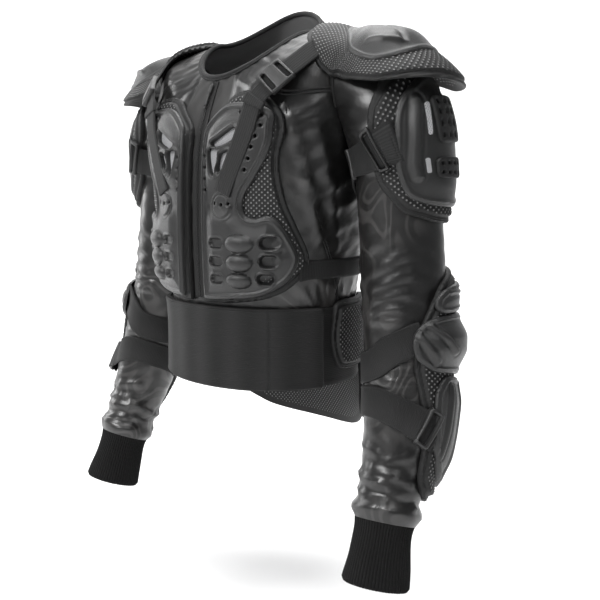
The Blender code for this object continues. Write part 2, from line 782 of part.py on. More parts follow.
def shoulder_guard(side, word):
    """Foam cap whose outer edge flares off the arm, with a domed hard shell on it."""
    heights = cap_heights()
    turn, tilt = band_net(SHOULDER_FOAM_ROWS, stations(SHOULDER_FOAM_ROWS, 11), 9)
    low = CAP_SEAT + flare(tilt, turn)
    outer = on_shoulder(tilt, turn, low + padded_lift(turn.shape, 0.0, FOAM), heights)
    slab(f"shoulder_foam_{word}", outer, on_shoulder(tilt, turn, low, heights), "foam", side)
    turn, tilt = band_net(SHOULDER_SHELL_ROWS, stations(SHOULDER_SHELL_ROWS, 8), 7)
    seat = CAP_SEAT + FOAM + CAP_CLEAR + flare(tilt, turn)
    low, high = domed_lift(turn.shape, seat, GUARD_SHELL, SHOULDER_DOME)
    outer, inner = on_shoulder(tilt, turn, high, heights), on_shoulder(tilt, turn, low, heights)
    slab(f"shoulder_shell_{word}", outer, inner, "shell", side)


def arm_guard(side, word):
    """Upper arm pad with its shell and two pierced blocks."""
    turn, drop = band_net(ARM_FOAM_ROWS, stations(ARM_FOAM_ROWS, 8), 9)
    outer = on_arm(turn, drop, padded_lift(turn.shape, ARM_SEAT, ARM_SEAT + FOAM))
    slab(f"arm_foam_{word}", outer, on_arm(turn, drop, ARM_SEAT), "foam", side)
    turn, drop = band_net(ARM_SHELL_ROWS, stations(ARM_SHELL_ROWS, 7), 7)
    low = ARM_SEAT + FOAM + STACK_GAP
    outer = on_arm(turn, drop, padded_lift(turn.shape, low, low + GUARD_SHELL, 0.6))
    slab(f"arm_shell_{word}", outer, on_arm(turn, drop, low), "shell", side)
    for name, drop, width, height, rows, columns, clear in ARM_VENTS:
        base = low + GUARD_SHELL + clear
        vent_block(f"{name}_{word}", base, drop, width, height, rows, columns, side)


def vent_block(name, low, centre_drop, width, height, rows, columns, side):
    """A raised block on the arm shell with rows of holes through it."""
    reach = math.degrees(width / 2 / (ARM_RADIUS + low))
    rise = height / 2 / ARM_DROP
    turns = VENT_TURN + np.linspace(-reach, reach, 4)
    turn, drop = np.meshgrid(turns, centre_drop + np.linspace(-rise, rise, 3))
    high = low + VENT_BLOCK
    made = slab(name, on_arm(turn, drop, high), on_arm(turn, drop, low), "shell", side)
    outline = round_outline(VENT_HOLE / math.sqrt(2), 4)
    prisms = []
    for i in range(rows):
        for j in range(columns):
            hole_turn = VENT_TURN + reach * (2 * j + 1 - columns) / columns
            hole_drop = centre_drop + rise * (2 * i + 1 - rows) / rows
            ends = (low - CUT_REACH, high + CUT_REACH)
            prisms.append(prism(on_arm, hole_turn, hole_drop, *ends, outline))
    take_away(made, cutter(f"{name}_holes", prisms, side))


def arm_band(name, line, width, low, side, count):
    """An elastic strap round the sleeve along a line of turns and drops."""
    places = np.linspace(0, len(line) - 1, count)
    turn, centre, _ = read(line, BAND_COLUMNS, places)
    on_pad = np.interp(places, range(len(line)), [row[BAND_COLUMNS.index("on_pad")] for row in line])
    low = low + on_pad[:, None] * (FOAM + STACK_GAP)
    drop = centre[:, None] + width / ARM_DROP * np.array([-0.5, 0.5])[None, :]
    turn = turn[:, None] + 0 * drop
    slab(name, on_arm(turn, drop, low + WEBBING), on_arm(turn, drop, low), "elastic", side)


def arm_straps(side, word):
    """Straps of the upper arm and the elbow, with their slide and buckle."""
    arm_band(f"arm_strap_{word}", ARM_STRAP_LINE, ARM_STRAP_WIDTH, ARM_SEAT, side, 17)
    arm_band(f"elbow_strap_upper_{word}", UPPER_STRAP_LINE, ELBOW_STRAP_WIDTH, ARM_SEAT, side, 13)
    arm_band(f"elbow_strap_lower_{word}", LOWER_STRAP_LINE, LOWER_STRAP_WIDTH, LOWER_STRAP_SEAT, side, 15)
    over_pad = FOAM + STACK_GAP + WEBBING + SLIDE_CLEAR
    here, along, normal = surface_place(on_arm, *ARM_SLIDE_PLACE, ARM_SEAT + over_pad)
    window(f"arm_slide_{word}", here, along, normal, ARM_SLIDE, "buckle", side)
    seat = LOWER_STRAP_SEAT + over_pad
    here, along, normal = surface_place(on_arm, *ELBOW_BUCKLE_PLACE, seat)
    window(f"elbow_buckle_{word}", here, along, normal, ELBOW_BUCKLE, "buckle", side)


def elbow_guard(side, word):
    """Long elbow and forearm pad with three hard pieces."""
    turn, drop = band_net(ELBOW_FOAM_ROWS, stations(ELBOW_FOAM_ROWS, 9), 10)
    outer = on_arm(turn, drop, padded_lift(turn.shape, ARM_SEAT, ARM_SEAT + FOAM))
    slab(f"elbow_foam_{word}", outer, on_arm(turn, drop, ARM_SEAT), "foam", side)
    for name, top, bottom, front, back, dome, clear in ELBOW_PLATES:
        turn, drop = np.meshgrid(np.linspace(front, back, 8), np.linspace(top, bottom, 4))
        low, high = domed_lift(turn.shape, ARM_SEAT + FOAM + clear, GUARD_SHELL, dome)
        slab(f"{name}_{word}", on_arm(turn, drop, high), on_arm(turn, drop, low), "shell", side)


def waist_belt():
    """Wide elastic belt round the waist and the panel that closes it in front."""
    turn, drop = np.meshgrid(np.linspace(0, 360, BODY_SIDES, False), np.linspace(BELT_TOP, 1.0, 3))
    outer = on_torso(turn, drop, SEAT + BELT_CLOTH)
    slab("waist_belt", outer, on_torso(turn, drop, SEAT), "elastic", closed=True)
    low = SEAT + BELT_CLOTH + FRONT_CLEAR
    edges = (BELT_TOP - BELT_FRONT_OVER, 1.0 + BELT_FRONT_OVER)
    turn, drop = np.meshgrid(np.linspace(-BELT_FRONT_TURN, BELT_FRONT_TURN, 14), edges)
    outer = on_torso(turn, drop, low + BELT_CLOTH)
    slab("belt_front", outer, on_torso(turn, drop, low), "elastic")


def edge_turn(rows, columns, drop):
    """Turn of a patch's edge at a drop, read from its table."""
    turns = [row[columns[0]] for row in rows]
    drops = [row[columns[1]] for row in rows]
    return float(np.interp(drop, drops, turns))


def back_wing(side, word):
    """Wing of the back pad that holds the flank over the belt."""
    top, bottom, start, end = BACK_WING
    turn, drop = np.meshgrid(180 - np.linspace(start, end, 6), np.linspace(top, bottom, 4))
    low = SEAT + BELT_CLOTH + WING_CLEAR
    outer = on_torso(turn, drop, low + padded_lift(turn.shape, 0.0, FOAM))
    slab(f"back_wing_{word}", outer, on_torso(turn, drop, low), "foam", side)


def side_strap(side, word):
    """Strap at the flank between the chest pad's tip and the back pad."""
    rise = SIDE_STRAP_WIDTH / 2 / BODY_LENGTH
    drops = [SIDE_STRAP_DROP + k * rise for k in (-1, 0, 1)]
    start = max(edge_turn(CHEST_FOAM_ROWS, (2, 3), drop) for drop in drops) + SIDE_STRAP_CLEAR
    end = 180 - max(edge_turn(BACK_FOAM_ROWS, (0, 1), drop) for drop in drops) - SIDE_STRAP_CLEAR
    turn, drop = np.meshgrid(np.linspace(start, end, 9), (drops[0], drops[-1]))
    outer = on_torso(turn, drop, SEAT + WEBBING)
    slab(f"side_strap_{word}", outer, on_torso(turn, drop, SEAT), "elastic", side)


def over_belt(drop):
    """Rise of the back pad where it passes over the belt."""
    share = np.clip((drop - BELT_RISE[0]) / (BELT_RISE[1] - BELT_RISE[0]), 0, 1)
    return (BELT_CLOTH + BELT_CLEAR) * share


def back_guard():
    """Back pad with a tail below the hem, and the plates down its spine."""
    places = stations(BACK_FOAM_ROWS, 12)
    half, drop = (value[:, None] for value in read(BACK_FOAM_ROWS, BACK_COLUMNS, places))
    share = np.linspace(-1, 1, 11)[None, :]
    turn, drop = 180 + half * share, drop + 0 * share
    low = SEAT + over_belt(drop)
    pad = padded_lift(turn.shape, 0.0, FOAM)
    slab("back_foam", on_torso(turn, drop, low + pad), on_torso(turn, drop, low), "foam")
    for name, top, bottom, reach, clear in BACK_PLATES:
        turn, drop = np.meshgrid(np.linspace(180 - reach, 180 + reach, 6), np.linspace(top, bottom, 3))
        seat = SEAT + FOAM + clear + over_belt(drop)
        low, high = domed_lift(turn.shape, seat, GUARD_SHELL, BACK_DOME)
        slab(name, on_torso(turn, drop, high), on_torso(turn, drop, low), "shell")


def main():
    for old in list(bpy.data.objects):
        bpy.data.objects.remove(old)
    jacket_body()
    front_zip()
    waist_belt()
    back_guard()
    for side, word in ((1, "left"), (-1, "right")):
        sleeve(side, word)
        cuff(side, word)
        chest_guard(side, word)
        chest_strap(side, word)
        shoulder_guard(side, word)
        arm_guard(side, word)
        arm_straps(side, word)
        elbow_guard(side, word)
        side_strap(side, word)
        back_wing(side, word)


main()
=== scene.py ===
import math

import bpy
import numpy as np
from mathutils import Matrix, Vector


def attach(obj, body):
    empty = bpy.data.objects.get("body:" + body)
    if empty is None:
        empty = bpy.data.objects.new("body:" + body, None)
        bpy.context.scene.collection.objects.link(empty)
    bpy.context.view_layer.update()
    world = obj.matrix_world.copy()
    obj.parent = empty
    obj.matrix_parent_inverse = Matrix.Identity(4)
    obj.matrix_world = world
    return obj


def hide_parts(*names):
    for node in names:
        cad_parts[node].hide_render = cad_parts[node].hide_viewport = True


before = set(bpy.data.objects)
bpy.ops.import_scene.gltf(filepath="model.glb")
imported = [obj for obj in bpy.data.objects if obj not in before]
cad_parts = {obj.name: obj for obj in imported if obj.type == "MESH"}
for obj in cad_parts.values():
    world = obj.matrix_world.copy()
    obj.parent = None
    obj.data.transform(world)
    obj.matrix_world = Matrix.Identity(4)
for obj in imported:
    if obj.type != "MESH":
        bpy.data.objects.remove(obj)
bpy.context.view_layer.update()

# Driving dimensions, as in the part
BODY_LENGTH = 0.500
CHEST_WIDTH = 0.346
CHEST_FRONT = 0.122
CHEST_BACK = 0.115
ARM_DROP = 0.712
ARM_SPREAD = 0.268
ARM_FORWARD = 0.084
ARM_RADIUS = 0.062
SIDES = ((1, "left"), (-1, "right"))

# Walls and clearances
CLOTH = 0.0022
RIB_KNIT = 0.0030
BELT_CLOTH = 0.0034
FOAM = 0.0085
GUARD_SHELL = 0.0030
WEBBING = 0.0020
SEAT = 0.0016
ARM_SEAT = 0.0023
CAP_SEAT = 0.0058
CAP_CLEAR = 0.0019

# Metres of cloth to a degree on the body, an arm and a shoulder
BODY_DEGREE = 0.0028
ARM_DEGREE = 0.00096
CAP_DEGREE = 0.0019

TORSO_COLUMNS = ("front_drop", "side_drop", "back_drop", "width", "fore", "aft", "square")
TORSO = (
    (0.186, 0.066, -0.024, 0.49, 0.72, 0.65, 2.0),
    (0.235, 0.078, 0.025, 0.70, 0.80, 0.80, 2.1),
    (0.290, 0.104, 0.090, 0.93, 0.89, 0.94, 2.25),
    (0.350, 0.235, 0.225, 1.00, 0.96, 1.01, 2.4),
    (0.450, 0.450, 0.450, 0.93, 1.00, 1.00, 2.45),
    (0.580, 0.580, 0.580, 0.88, 1.01, 0.96, 2.3),
    (0.700, 0.700, 0.700, 0.86, 1.00, 0.92, 2.15),
    (0.820, 0.820, 0.820, 0.80, 0.98, 0.90, 2.1),
    (1.000, 1.000, 1.000, 0.80, 0.97, 0.95, 2.1),
    (1.220, 1.220, 1.220, 0.80, 0.97, 1.00, 2.1),
)
HEM_ROW = 8

ARM_COLUMNS = ("drop", "out", "forward", "radius")
ARM = (
    (0.148, 0.450, -0.12, 0.88),
    (0.168, 0.680, -0.13, 0.92),
    (0.235, 0.790, -0.16, 0.92),
    (0.330, 0.828, -0.20, 0.86),
    (0.560, 0.885, -0.15, 0.85),
    (0.743, 0.955, 0.20, 0.76),
    (0.900, 0.985, 0.72, 0.56),
    (1.000, 1.000, 1.00, 0.66),
)
SLEEVE_END = 6.0
CUFF_END = 7.0
SLEEVE_FOLDS = ((0.842, 0.035, 0.010), (0.886, 0.120, 0.014))

# One piece on the middle of the body
MIDDLE = ((1, ""),)

# The cap's centre as shares of the arm's spread, the back's depth and the arm's drop
SHOULDER_CENTRE = (0.62, 0.02, -0.185)
CAP_REACH = (0.010, 0.160)
SHOULDER_FLARE = 0.030
FLARE_RANGE = (15.0, 72.0)
SHOULDER_DOME = 0.010


def smooth(rows, column, at):
    """Reads a column along a smooth curve through its rows; at counts rows from 0."""
    values = np.array([row[column] for row in rows], float)
    at = np.clip(np.asarray(at, float), 0, len(values) - 1)
    low = np.minimum(at.astype(int), len(values) - 2)
    share = at - low
    slopes = np.gradient(values)
    start, end = values[low], values[low + 1]
    bend = 3 * share**2 - 2 * share**3
    lead = share**3 - 2 * share**2 + share
    trail = share**3 - share**2
    return start * (1 - bend) + end * bend + slopes[low] * lead + slopes[low + 1] * trail


def torso(name, row):
    return smooth(TORSO, TORSO_COLUMNS.index(name), row)


def arm(name, row):
    return smooth(ARM, ARM_COLUMNS.index(name), row)


def unit(vectors):
    return vectors / np.linalg.norm(vectors, axis=-1, keepdims=True)


def torso_drop(turn, row):
    """Share of the body's length at a turn on a section row: sections tilt up to the back."""
    fore = np.cos(turn)
    side = torso("side_drop", row)
    end = np.where(fore > 0, torso("front_drop", row), torso("back_drop", row))
    return side + (end - side) * np.abs(fore) ** 1.6


def torso_radius(turn, row):
    """Distance from the body's axis to the cloth on a squared oval."""
    half_width = torso("width", row) * CHEST_WIDTH / 2
    depth = np.where(
        np.cos(turn) > 0, torso("fore", row) * CHEST_FRONT, torso("aft", row) * CHEST_BACK
    )
    power = torso("square", row)
    across = (np.abs(np.sin(turn)) / half_width) ** power
    along = (np.abs(np.cos(turn)) / depth) ** power
    return (across + along) ** (-1 / power)


def torso_skin(turn, row):
    radius = torso_radius(turn, row)
    drop = BODY_LENGTH * torso_drop(turn, row)
    return np.stack([radius * np.sin(turn), -radius * np.cos(turn), -drop], -1)


def torso_lifted(turn, row, lift):
    """A point over the body's cloth, out along the cloth's normal."""
    step = 1e-3
    across = torso_skin(turn + step, row) - torso_skin(turn - step, row)
    low, high = np.maximum(row - step, 0), np.minimum(row + step, len(TORSO) - 1)
    along = torso_skin(turn, high) - torso_skin(turn, low)
    normal = unit(np.cross(along, across))
    return torso_skin(turn, row) + normal * np.asarray(lift)[..., None]


def torso_row(turn, drop):
    """The section row whose cloth passes a drop at a turn, found by halving."""
    low = np.zeros(np.broadcast(turn, drop).shape)
    high = np.full(low.shape, float(len(TORSO) - 1))
    for _ in range(24):
        middle = (low + high) / 2
        above = torso_drop(turn, middle) < drop
        low, high = np.where(above, middle, low), np.where(above, high, middle)
    return (low + high) / 2


def on_torso(turn, drop, lift):
    """Body point at a turn in degrees and a drop share, lifted off the cloth."""
    turn, drop, lift = np.broadcast_arrays(np.radians(turn), np.asarray(drop, float), lift)
    return torso_lifted(turn, torso_row(turn, drop), lift)


def inside_torso(points, grow):
    turn = np.arctan2(points[..., 0], -points[..., 1])
    row = torso_row(turn, -points[..., 2] / BODY_LENGTH)
    return np.hypot(points[..., 0], points[..., 1]) < torso_radius(turn, row) + grow


def arm_centre(row):
    out, forward, drop = arm("out", row), arm("forward", row), arm("drop", row)
    return np.stack([ARM_SPREAD * out, -ARM_FORWARD * forward, -ARM_DROP * drop], -1)


def arm_frame(row):
    """Directions along, out of and before the arm at a row."""
    step = 1e-3
    low, high = np.maximum(row - step, 0), np.minimum(row + step, len(ARM) - 1)
    down = unit(arm_centre(high) - arm_centre(low))
    out = unit(np.array([1.0, 0.0, 0.0]) - down * down[..., :1])
    return down, out, np.cross(down, out)


def arm_radius(row):
    """Radius of the sleeve with its folds above the cuff."""
    radius = ARM_RADIUS * arm("radius", row)
    drop = arm("drop", row)
    for centre, height, spread in SLEEVE_FOLDS:
        radius = radius + ARM_RADIUS * height * np.exp(-(((drop - centre) / spread) ** 2))
    return radius


def arm_skin(turn, row, lift):
    _, out, front = arm_frame(row)
    radius = (arm_radius(row) + lift)[..., None]
    return arm_centre(row) + radius * (np.cos(turn)[..., None] * out + np.sin(turn)[..., None] * front)


def arm_row(drop):
    rows = np.linspace(0, len(ARM) - 1, 400)
    return np.interp(drop, arm("drop", rows), rows)


def on_arm(turn, drop, lift):
    """Arm point at a turn in degrees and a drop share, lifted off the sleeve."""
    turn, drop, lift = np.broadcast_arrays(np.radians(turn), np.asarray(drop, float), lift)
    return arm_skin(turn, arm_row(drop), np.asarray(lift, float))


def arm_distance(points):
    """How far points lie outside the sleeve near the shoulder."""
    rows = np.linspace(0, 4, 60)
    nearest = np.full(points.shape[:-1], 9.0)
    for centre, radius in zip(arm_centre(rows), arm_radius(rows)):
        nearest = np.minimum(nearest, np.linalg.norm(points - centre, axis=-1) - radius)
    return nearest


def flare(tilt, turn):
    """How far the cap stands off the arm: more towards its outer and rear edge."""
    share = np.clip((tilt - FLARE_RANGE[0]) / (FLARE_RANGE[1] - FLARE_RANGE[0]), 0, 1.2)
    return SHOULDER_FLARE * share**1.2 * (1 - 0.3 * np.sin(np.radians(turn)))


def cap_terms(tilt, turn):
    """Products of powers that the cap's height over its centre is made of."""
    a, b = np.ravel(tilt) / 82, np.ravel(turn) / 60
    return np.stack([a**i * b**j for i in range(8) for j in range(8 - i)], -1)


def cap_heights():
    """Weights of those products, fitted to where rays from the cap's centre leave the cloth."""
    turn, tilt = np.meshgrid(np.linspace(-60, 60, 22), np.linspace(-30, 82, 22))
    lean, yaw = np.radians(tilt.ravel()), np.radians(turn.ravel())
    way = np.stack([np.sin(lean) * np.cos(yaw), -np.sin(yaw), np.cos(lean) * np.cos(yaw)], -1)
    centre = np.array(SHOULDER_CENTRE) * (ARM_SPREAD, CHEST_BACK, ARM_DROP)
    reach = np.linspace(*CAP_REACH, 140)
    points = centre + way[:, None, :] * reach[:, None]
    covered = inside_torso(points, 0.0) | (arm_distance(points) < 0)
    surface = np.where(covered, reach, 0).max(axis=-1)
    return np.linalg.lstsq(cap_terms(tilt, turn), surface, rcond=None)[0]


CAP_HEIGHTS = cap_heights()


def body_place(u, v, lift):
    return on_torso(u / BODY_DEGREE, v / BODY_LENGTH, lift)


def arm_place(u, v, lift):
    return on_arm(u / ARM_DEGREE, v / ARM_DROP, lift)


def cap_place(u, v, lift):
    """Point of the cap over the shoulder: v leans from up to outward, u leans forward."""
    u, v, lift = np.broadcast_arrays(u, v, lift)
    tilt, turn = v / CAP_DEGREE, u / CAP_DEGREE
    surface = (cap_terms(tilt, turn) @ CAP_HEIGHTS).reshape(tilt.shape)
    lean, yaw = np.radians(tilt), np.radians(turn)
    way = np.stack([np.sin(lean) * np.cos(yaw), -np.sin(yaw), np.cos(lean) * np.cos(yaw)], -1)
    centre = np.array(SHOULDER_CENTRE) * (ARM_SPREAD, CHEST_BACK, ARM_DROP)
    return centre + way * (surface + lift + flare(tilt, turn))[..., None]


# Materials


class Value:
    """One output of a material's nodes; sums and products of it make further nodes."""

    def __init__(self, look, end):
        self.look = look
        self.end = end

    def maths(self, operation, *values):
        return self.look.node("ShaderNodeMath", {"operation": operation}, *values)

    def __add__(self, other):
        return self.maths("ADD", self, other)

    def __sub__(self, other):
        return self.maths("SUBTRACT", self, other)

    def __rsub__(self, other):
        return self.maths("SUBTRACT", other, self)

    def __mul__(self, other):
        return self.maths("MULTIPLY", self, other)

    def __truediv__(self, other):
        return self.maths("DIVIDE", self, other)

    def __pow__(self, other):
        return self.maths("POWER", self, other)

    def fraction(self):
        return self.maths("FRACT", self)

    def sine(self):
        return self.maths("SINE", self)

    def least(self, other):
        return self.maths("MINIMUM", self, other)

    def between(self, low, high):
        """0 below low and 1 above high, with a smooth step between them."""
        settings = {"interpolation_type": "SMOOTHSTEP"}
        return self.look.node("ShaderNodeMapRange", settings, self, low, high, 0.0, 1.0)

    __radd__ = __add__
    __rmul__ = __mul__


class Look:
    """A material whose colour, roughness and bumps are worked out by nodes."""

    def __init__(self, name, sheen=0.0, coat=0.0, metallic=0.0, specular=0.5):
        self.made = bpy.data.materials.new(name)
        self.made.use_nodes = True
        self.tree = self.made.node_tree
        self.shader = self.tree.nodes["Principled BSDF"]
        self.shader.inputs["Sheen Weight"].default_value = sheen
        self.shader.inputs["Sheen Roughness"].default_value = 0.45
        self.shader.inputs["Coat Weight"].default_value = coat
        self.shader.inputs["Coat Roughness"].default_value = 0.25
        self.shader.inputs["Metallic"].default_value = metallic
        self.shader.inputs["Specular IOR Level"].default_value = specular

    def feed(self, slot, value):
        if isinstance(value, Value):
            self.tree.links.new(value.end, slot)
        else:
            slot.default_value = value

    def node(self, kind, settings, *values, out=0, **named):
        made = self.tree.nodes.new(kind)
        for key, value in settings.items():
            setattr(made, key, value)
        for slot, value in zip(made.inputs, values):
            self.feed(slot, value)
        for key, value in named.items():
            self.feed(made.inputs[key], value)
        return Value(self, made.outputs[out])

    def place(self):
        return self.node("ShaderNodeTexCoord", {}, out=3)

    def plan(self):
        """Metres across and along the piece, and metres in from its edge."""
        read = self.tree.nodes.new("ShaderNodeAttribute")
        read.attribute_name = "plan"
        split = self.tree.nodes.new("ShaderNodeSeparateXYZ")
        self.tree.links.new(read.outputs["Vector"], split.inputs[0])
        return [Value(self, end) for end in split.outputs]

    def mark(self):
        """A piece's own share of a second finish, from 0 to 1."""
        read = self.tree.nodes.new("ShaderNodeAttribute")
        read.attribute_name = "mark"
        return Value(self, read.outputs["Fac"])

    def noise(self, scale, detail=2.0, distortion=0.0, place=None):
        where = place or self.place()
        named = {"Vector": where, "Scale": scale, "Detail": detail, "Distortion": distortion}
        return self.node("ShaderNodeTexNoise", {}, **named)

    def finish(self, tone, roughness, height=None, depth=0.001, tint=(1.0, 1.0, 1.0)):
        """Joins tone, roughness and height to the shader; depth is the height of a 1 in metres."""
        colour = self.node("ShaderNodeCombineXYZ", {}, *[tone * part for part in tint])
        self.feed(self.shader.inputs["Base Color"], colour)
        self.feed(self.shader.inputs["Roughness"], roughness)
        if height is not None:
            named = {"Strength": 1.0, "Distance": depth, "Height": height}
            self.feed(self.shader.inputs["Normal"], self.node("ShaderNodeBump", {}, **named))
        return self.made


def dots(u, v, across, along):
    """Distance in metres to the nearest dot of a staggered lattice."""
    found = None
    for shift in (0.0, 0.5):
        a = ((u / across + shift).fraction() - 0.5) * across
        b = ((v / along + shift).fraction() - 0.5) * along
        reach = (a * a + b * b) ** 0.5
        found = reach if found is None else found.least(reach)
    return found


def satin_look():
    look = Look("satin stretch cloth", sheen=0.01, specular=0.60)
    flow = look.noise(8.0, 1.0, 1.2)
    # random patches of painted highlight on the satin; the contour lines below are kept inside them
    painted_highlight_zone = look.noise(7.0, 0.0).between(0.44, 0.62)
    contour = ((flow * 70.0).sine() * 0.5 + 0.5).between(0.45, 0.98)
    crease = look.noise(42.0, 3.0, 0.4)
    weave = look.noise(1500.0, 1.0)
    matte = look.mark()
    # thin contour lines of painted highlight, standing in for the satin's wavy reflections; they also give a
    # slight bump and lower the roughness
    lines = contour * painted_highlight_zone * (1.0 - matte)
    height = (lines * 0.05 + flow * 0.9 + crease * 0.20) * (1.0 - matte * 0.8) + weave * 0.02
    # in the tone, the lines and the highlight zone are painted highlight; crease is random tone and matte is
    # the plain cloth's own colour
    tone = 0.003 + crease * 0.002 + lines * 0.026 + painted_highlight_zone * 0.007 + matte * 0.010
    roughness = 0.30 + crease * 0.08 - lines * 0.04 + matte * 0.46
    return look.finish(tone, roughness, height, 0.0030, (1.0, 0.965, 0.94))


def lining_look():
    look = Look("plain lining", sheen=0.05, specular=0.3)
    weave = look.noise(1200.0, 2.0)
    cloud = look.noise(20.0, 2.0)
    # the pale tone of 0.12 is painted light: it stands in for light falling into the neck and sleeves, where
    # the lining lies in shade
    return look.finish(0.12 + cloud * 0.03 + weave * 0.02, 0.8 + weave * 0.15, weave, 0.0004)


def rib_look():
    look = Look("ribbed knit", sheen=0.02, specular=0.12)
    yarn = look.noise(900.0, 2.0)
    wide = look.noise(60.0)
    return look.finish(0.005 + yarn * 0.006 + wide * 0.002, 0.86 + yarn * 0.1, yarn, 0.0006)


def foam_look():
    look = Look("perforated pad cover", sheen=0.0, specular=0.4)
    u, v, inward = look.plan()
    away = dots(u, v, DOT_ACROSS, DOT_ALONG)
    inside = inward.between(0.0085, 0.0105)
    stud = (1.0 - away.between(0.0007, 0.0013)) * inside
    ditch = away.between(0.0014, 0.0022) * (1.0 - away.between(0.0030, 0.0040)) * inside
    grain = look.noise(1100.0, 2.0)
    cloud = look.noise(35.0, 3.0)
    # painted light in the tone: stud's pale tone is a painted glint on each stud, and ditch darkens a ring
    # round it as painted shade; grain and cloud are random tone
    tone = (0.005 + grain * 0.003 + cloud * 0.003 + stud * 0.16) * (1.0 - ditch * 0.6)
    roughness = 0.46 + grain * 0.2 + cloud * 0.1 - stud * 0.22
    return look.finish(tone, roughness, grain * 0.25 + stud * 0.6, 0.0006)


def shell_look():
    look = Look("moulded plastic", specular=0.5, coat=0.05)
    grain = look.noise(2400.0, 2.0)
    cloud = look.noise(28.0, 3.0, 0.6)
    scuff = look.noise(240.0, 4.0, 1.0).between(0.60, 0.80)
    _, _, inward = look.plan()
    worn = (1.0 - inward.between(0.0002, 0.0016)) * 0.008
    tone = 0.009 + cloud * 0.006 + worn + scuff * 0.004
    roughness = 0.25 + grain * 0.12 + cloud * 0.12 + scuff * 0.06
    return look.finish(tone, roughness, grain, 0.00022)


def woven_look(name, across, along, tone, shine):
    look = Look(name, sheen=0.02, specular=shine)
    u, v, _ = look.plan()
    ribs = (u * (math.tau / across)).sine() * 0.5 + 0.5
    picks = (v * (math.tau / along)).sine() * 0.5 + 0.5
    fuzz = look.noise(1300.0, 2.0)
    height = ribs * 0.5 + picks * 0.4 + fuzz * 0.3
    colour = tone * 0.7 + ribs * tone * 0.4 + fuzz * tone * 0.5
    return look.finish(colour, 0.62 + fuzz * 0.25 - ribs * 0.06, height, 0.0004)


def grille_look():
    look = Look("rubbery block", specular=0.35)
    grain = look.noise(1500.0, 2.0)
    cloud = look.noise(60.0, 2.0)
    return look.finish(0.004 + cloud * 0.004, 0.50 + grain * 0.2, grain, 0.0003)


def plastic_look():
    look = Look("buckle plastic", specular=0.55)
    grain = look.noise(1800.0, 2.0)
    cloud = look.noise(60.0, 2.0)
    return look.finish(0.008 + cloud * 0.006, 0.30 + grain * 0.16, grain, 0.0002)


def zip_look():
    look = Look("zip metal", metallic=0.7, specular=0.5)
    cloud = look.noise(300.0, 3.0)
    return look.finish(0.020 + cloud * 0.03, 0.40 + cloud * 0.2, cloud, 0.0001)


def mesh_look():
    look = Look("pale vent mesh", specular=0.3)
    u, v, _ = look.plan()
    hole = 1.0 - dots(u, v, 0.0026, 0.0026).between(0.00035, 0.0008)
    fuzz = look.noise(700.0)
    tone = (0.34 + fuzz * 0.16) * (1.0 - hole * 0.5)
    return look.finish(tone, 0.6 + fuzz * 0.2, 1.0 - hole, 0.0005, (1.0, 1.0, 1.03))


# Lattice of the dots on the pads
DOT_ACROSS = 0.0074
DOT_ALONG = 0.0066

LOOKS = {
    "satin": (satin_look(), "stretch"),
    "rib": (rib_look(), "knit"),
    "lining": (lining_look(), "stretch"),
    "grille": (grille_look(), "shell"),
    "foam": (foam_look(), "foam"),
    "shell": (shell_look(), "shell"),
    "webbing": (woven_look("webbing", 0.0030, 0.0016, 0.017, 0.22), "webbing"),
    "elastic": (woven_look("ribbed elastic", 0.0600, 0.0024, 0.013, 0.20), "elastic"),
    "binding": (woven_look("edge binding", 0.0012, 0.0012, 0.012, 0.30), "stretch"),
    "plastic": (plastic_look(), "buckle"),
    "zip": (zip_look(), "zip"),
    "mesh": (mesh_look(), "foam"),
}


# Shapes on a plan


def loop(points, unit_u, steps=7):
    """A closed smooth outline through points of degrees and millimetres, in metres."""
    knots = np.array(points, float) * (unit_u, 0.001)
    before, after, beyond = (np.roll(knots, shift, axis=0) for shift in (1, -1, -2))
    share = (np.arange(steps) / steps)[None, :, None]
    a, b, c, d = (value[:, None, :] for value in (before, knots, after, beyond))
    tension = 0.42
    lead, trail = tension * (c - a), tension * (d - b)
    bend = 3 * share**2 - 2 * share**3
    curve = b * (1 - bend) + c * bend
    curve += lead * (share**3 - 2 * share**2 + share) + trail * (share**3 - share**2)
    return curve.reshape(-1, 2)


def curve_through(knots, fineness):
    """A smooth curve through knots, with a number of points to each."""
    at = np.linspace(0, len(knots) - 1, fineness * len(knots))
    return np.stack([smooth(knots.tolist(), k, at) for k in range(knots.shape[1])], -1)


def lengths(points):
    """Metres run along a line of points up to each of them."""
    return np.r_[0, np.linalg.norm(np.diff(points, axis=0), axis=1).cumsum()]


def line(points, unit_u, step=0.002):
    """A smooth line through points of degrees and millimetres, in even steps, in metres."""
    knots = np.array(points, float) * (unit_u, 0.001)
    dense = curve_through(knots, 40)
    run = lengths(dense)
    even = np.linspace(0, run[-1], max(int(run[-1] / step), 2) + 1)
    return np.stack([np.interp(even, run, dense[:, k]) for k in (0, 1)], -1)


def squared_away(u, v, start, end):
    """Square of the metres from the line between two points."""
    run = end - start
    share = ((u - start[0]) * run[0] + (v - start[1]) * run[1]) / max(run @ run, 1e-12)
    share = np.clip(share, 0, 1)
    return (u - start[0] - share * run[0]) ** 2 + (v - start[1] - share * run[1]) ** 2


def inside(u, v, outline):
    """Metres in from an outline; outside it the value is negative."""
    nearest = np.full(u.shape, 1e9)
    odd = np.zeros(u.shape, bool)
    for start, end in zip(outline, np.roll(outline, -1, axis=0)):
        nearest = np.minimum(nearest, squared_away(u, v, start, end))
        if start[1] != end[1]:
            crosses = (start[1] > v) != (end[1] > v)
            side = start[0] + (v - start[1]) / (end[1] - start[1]) * (end[0] - start[0])
            odd ^= crosses & (u < side)
    return np.where(odd, 1, -1) * np.sqrt(nearest)


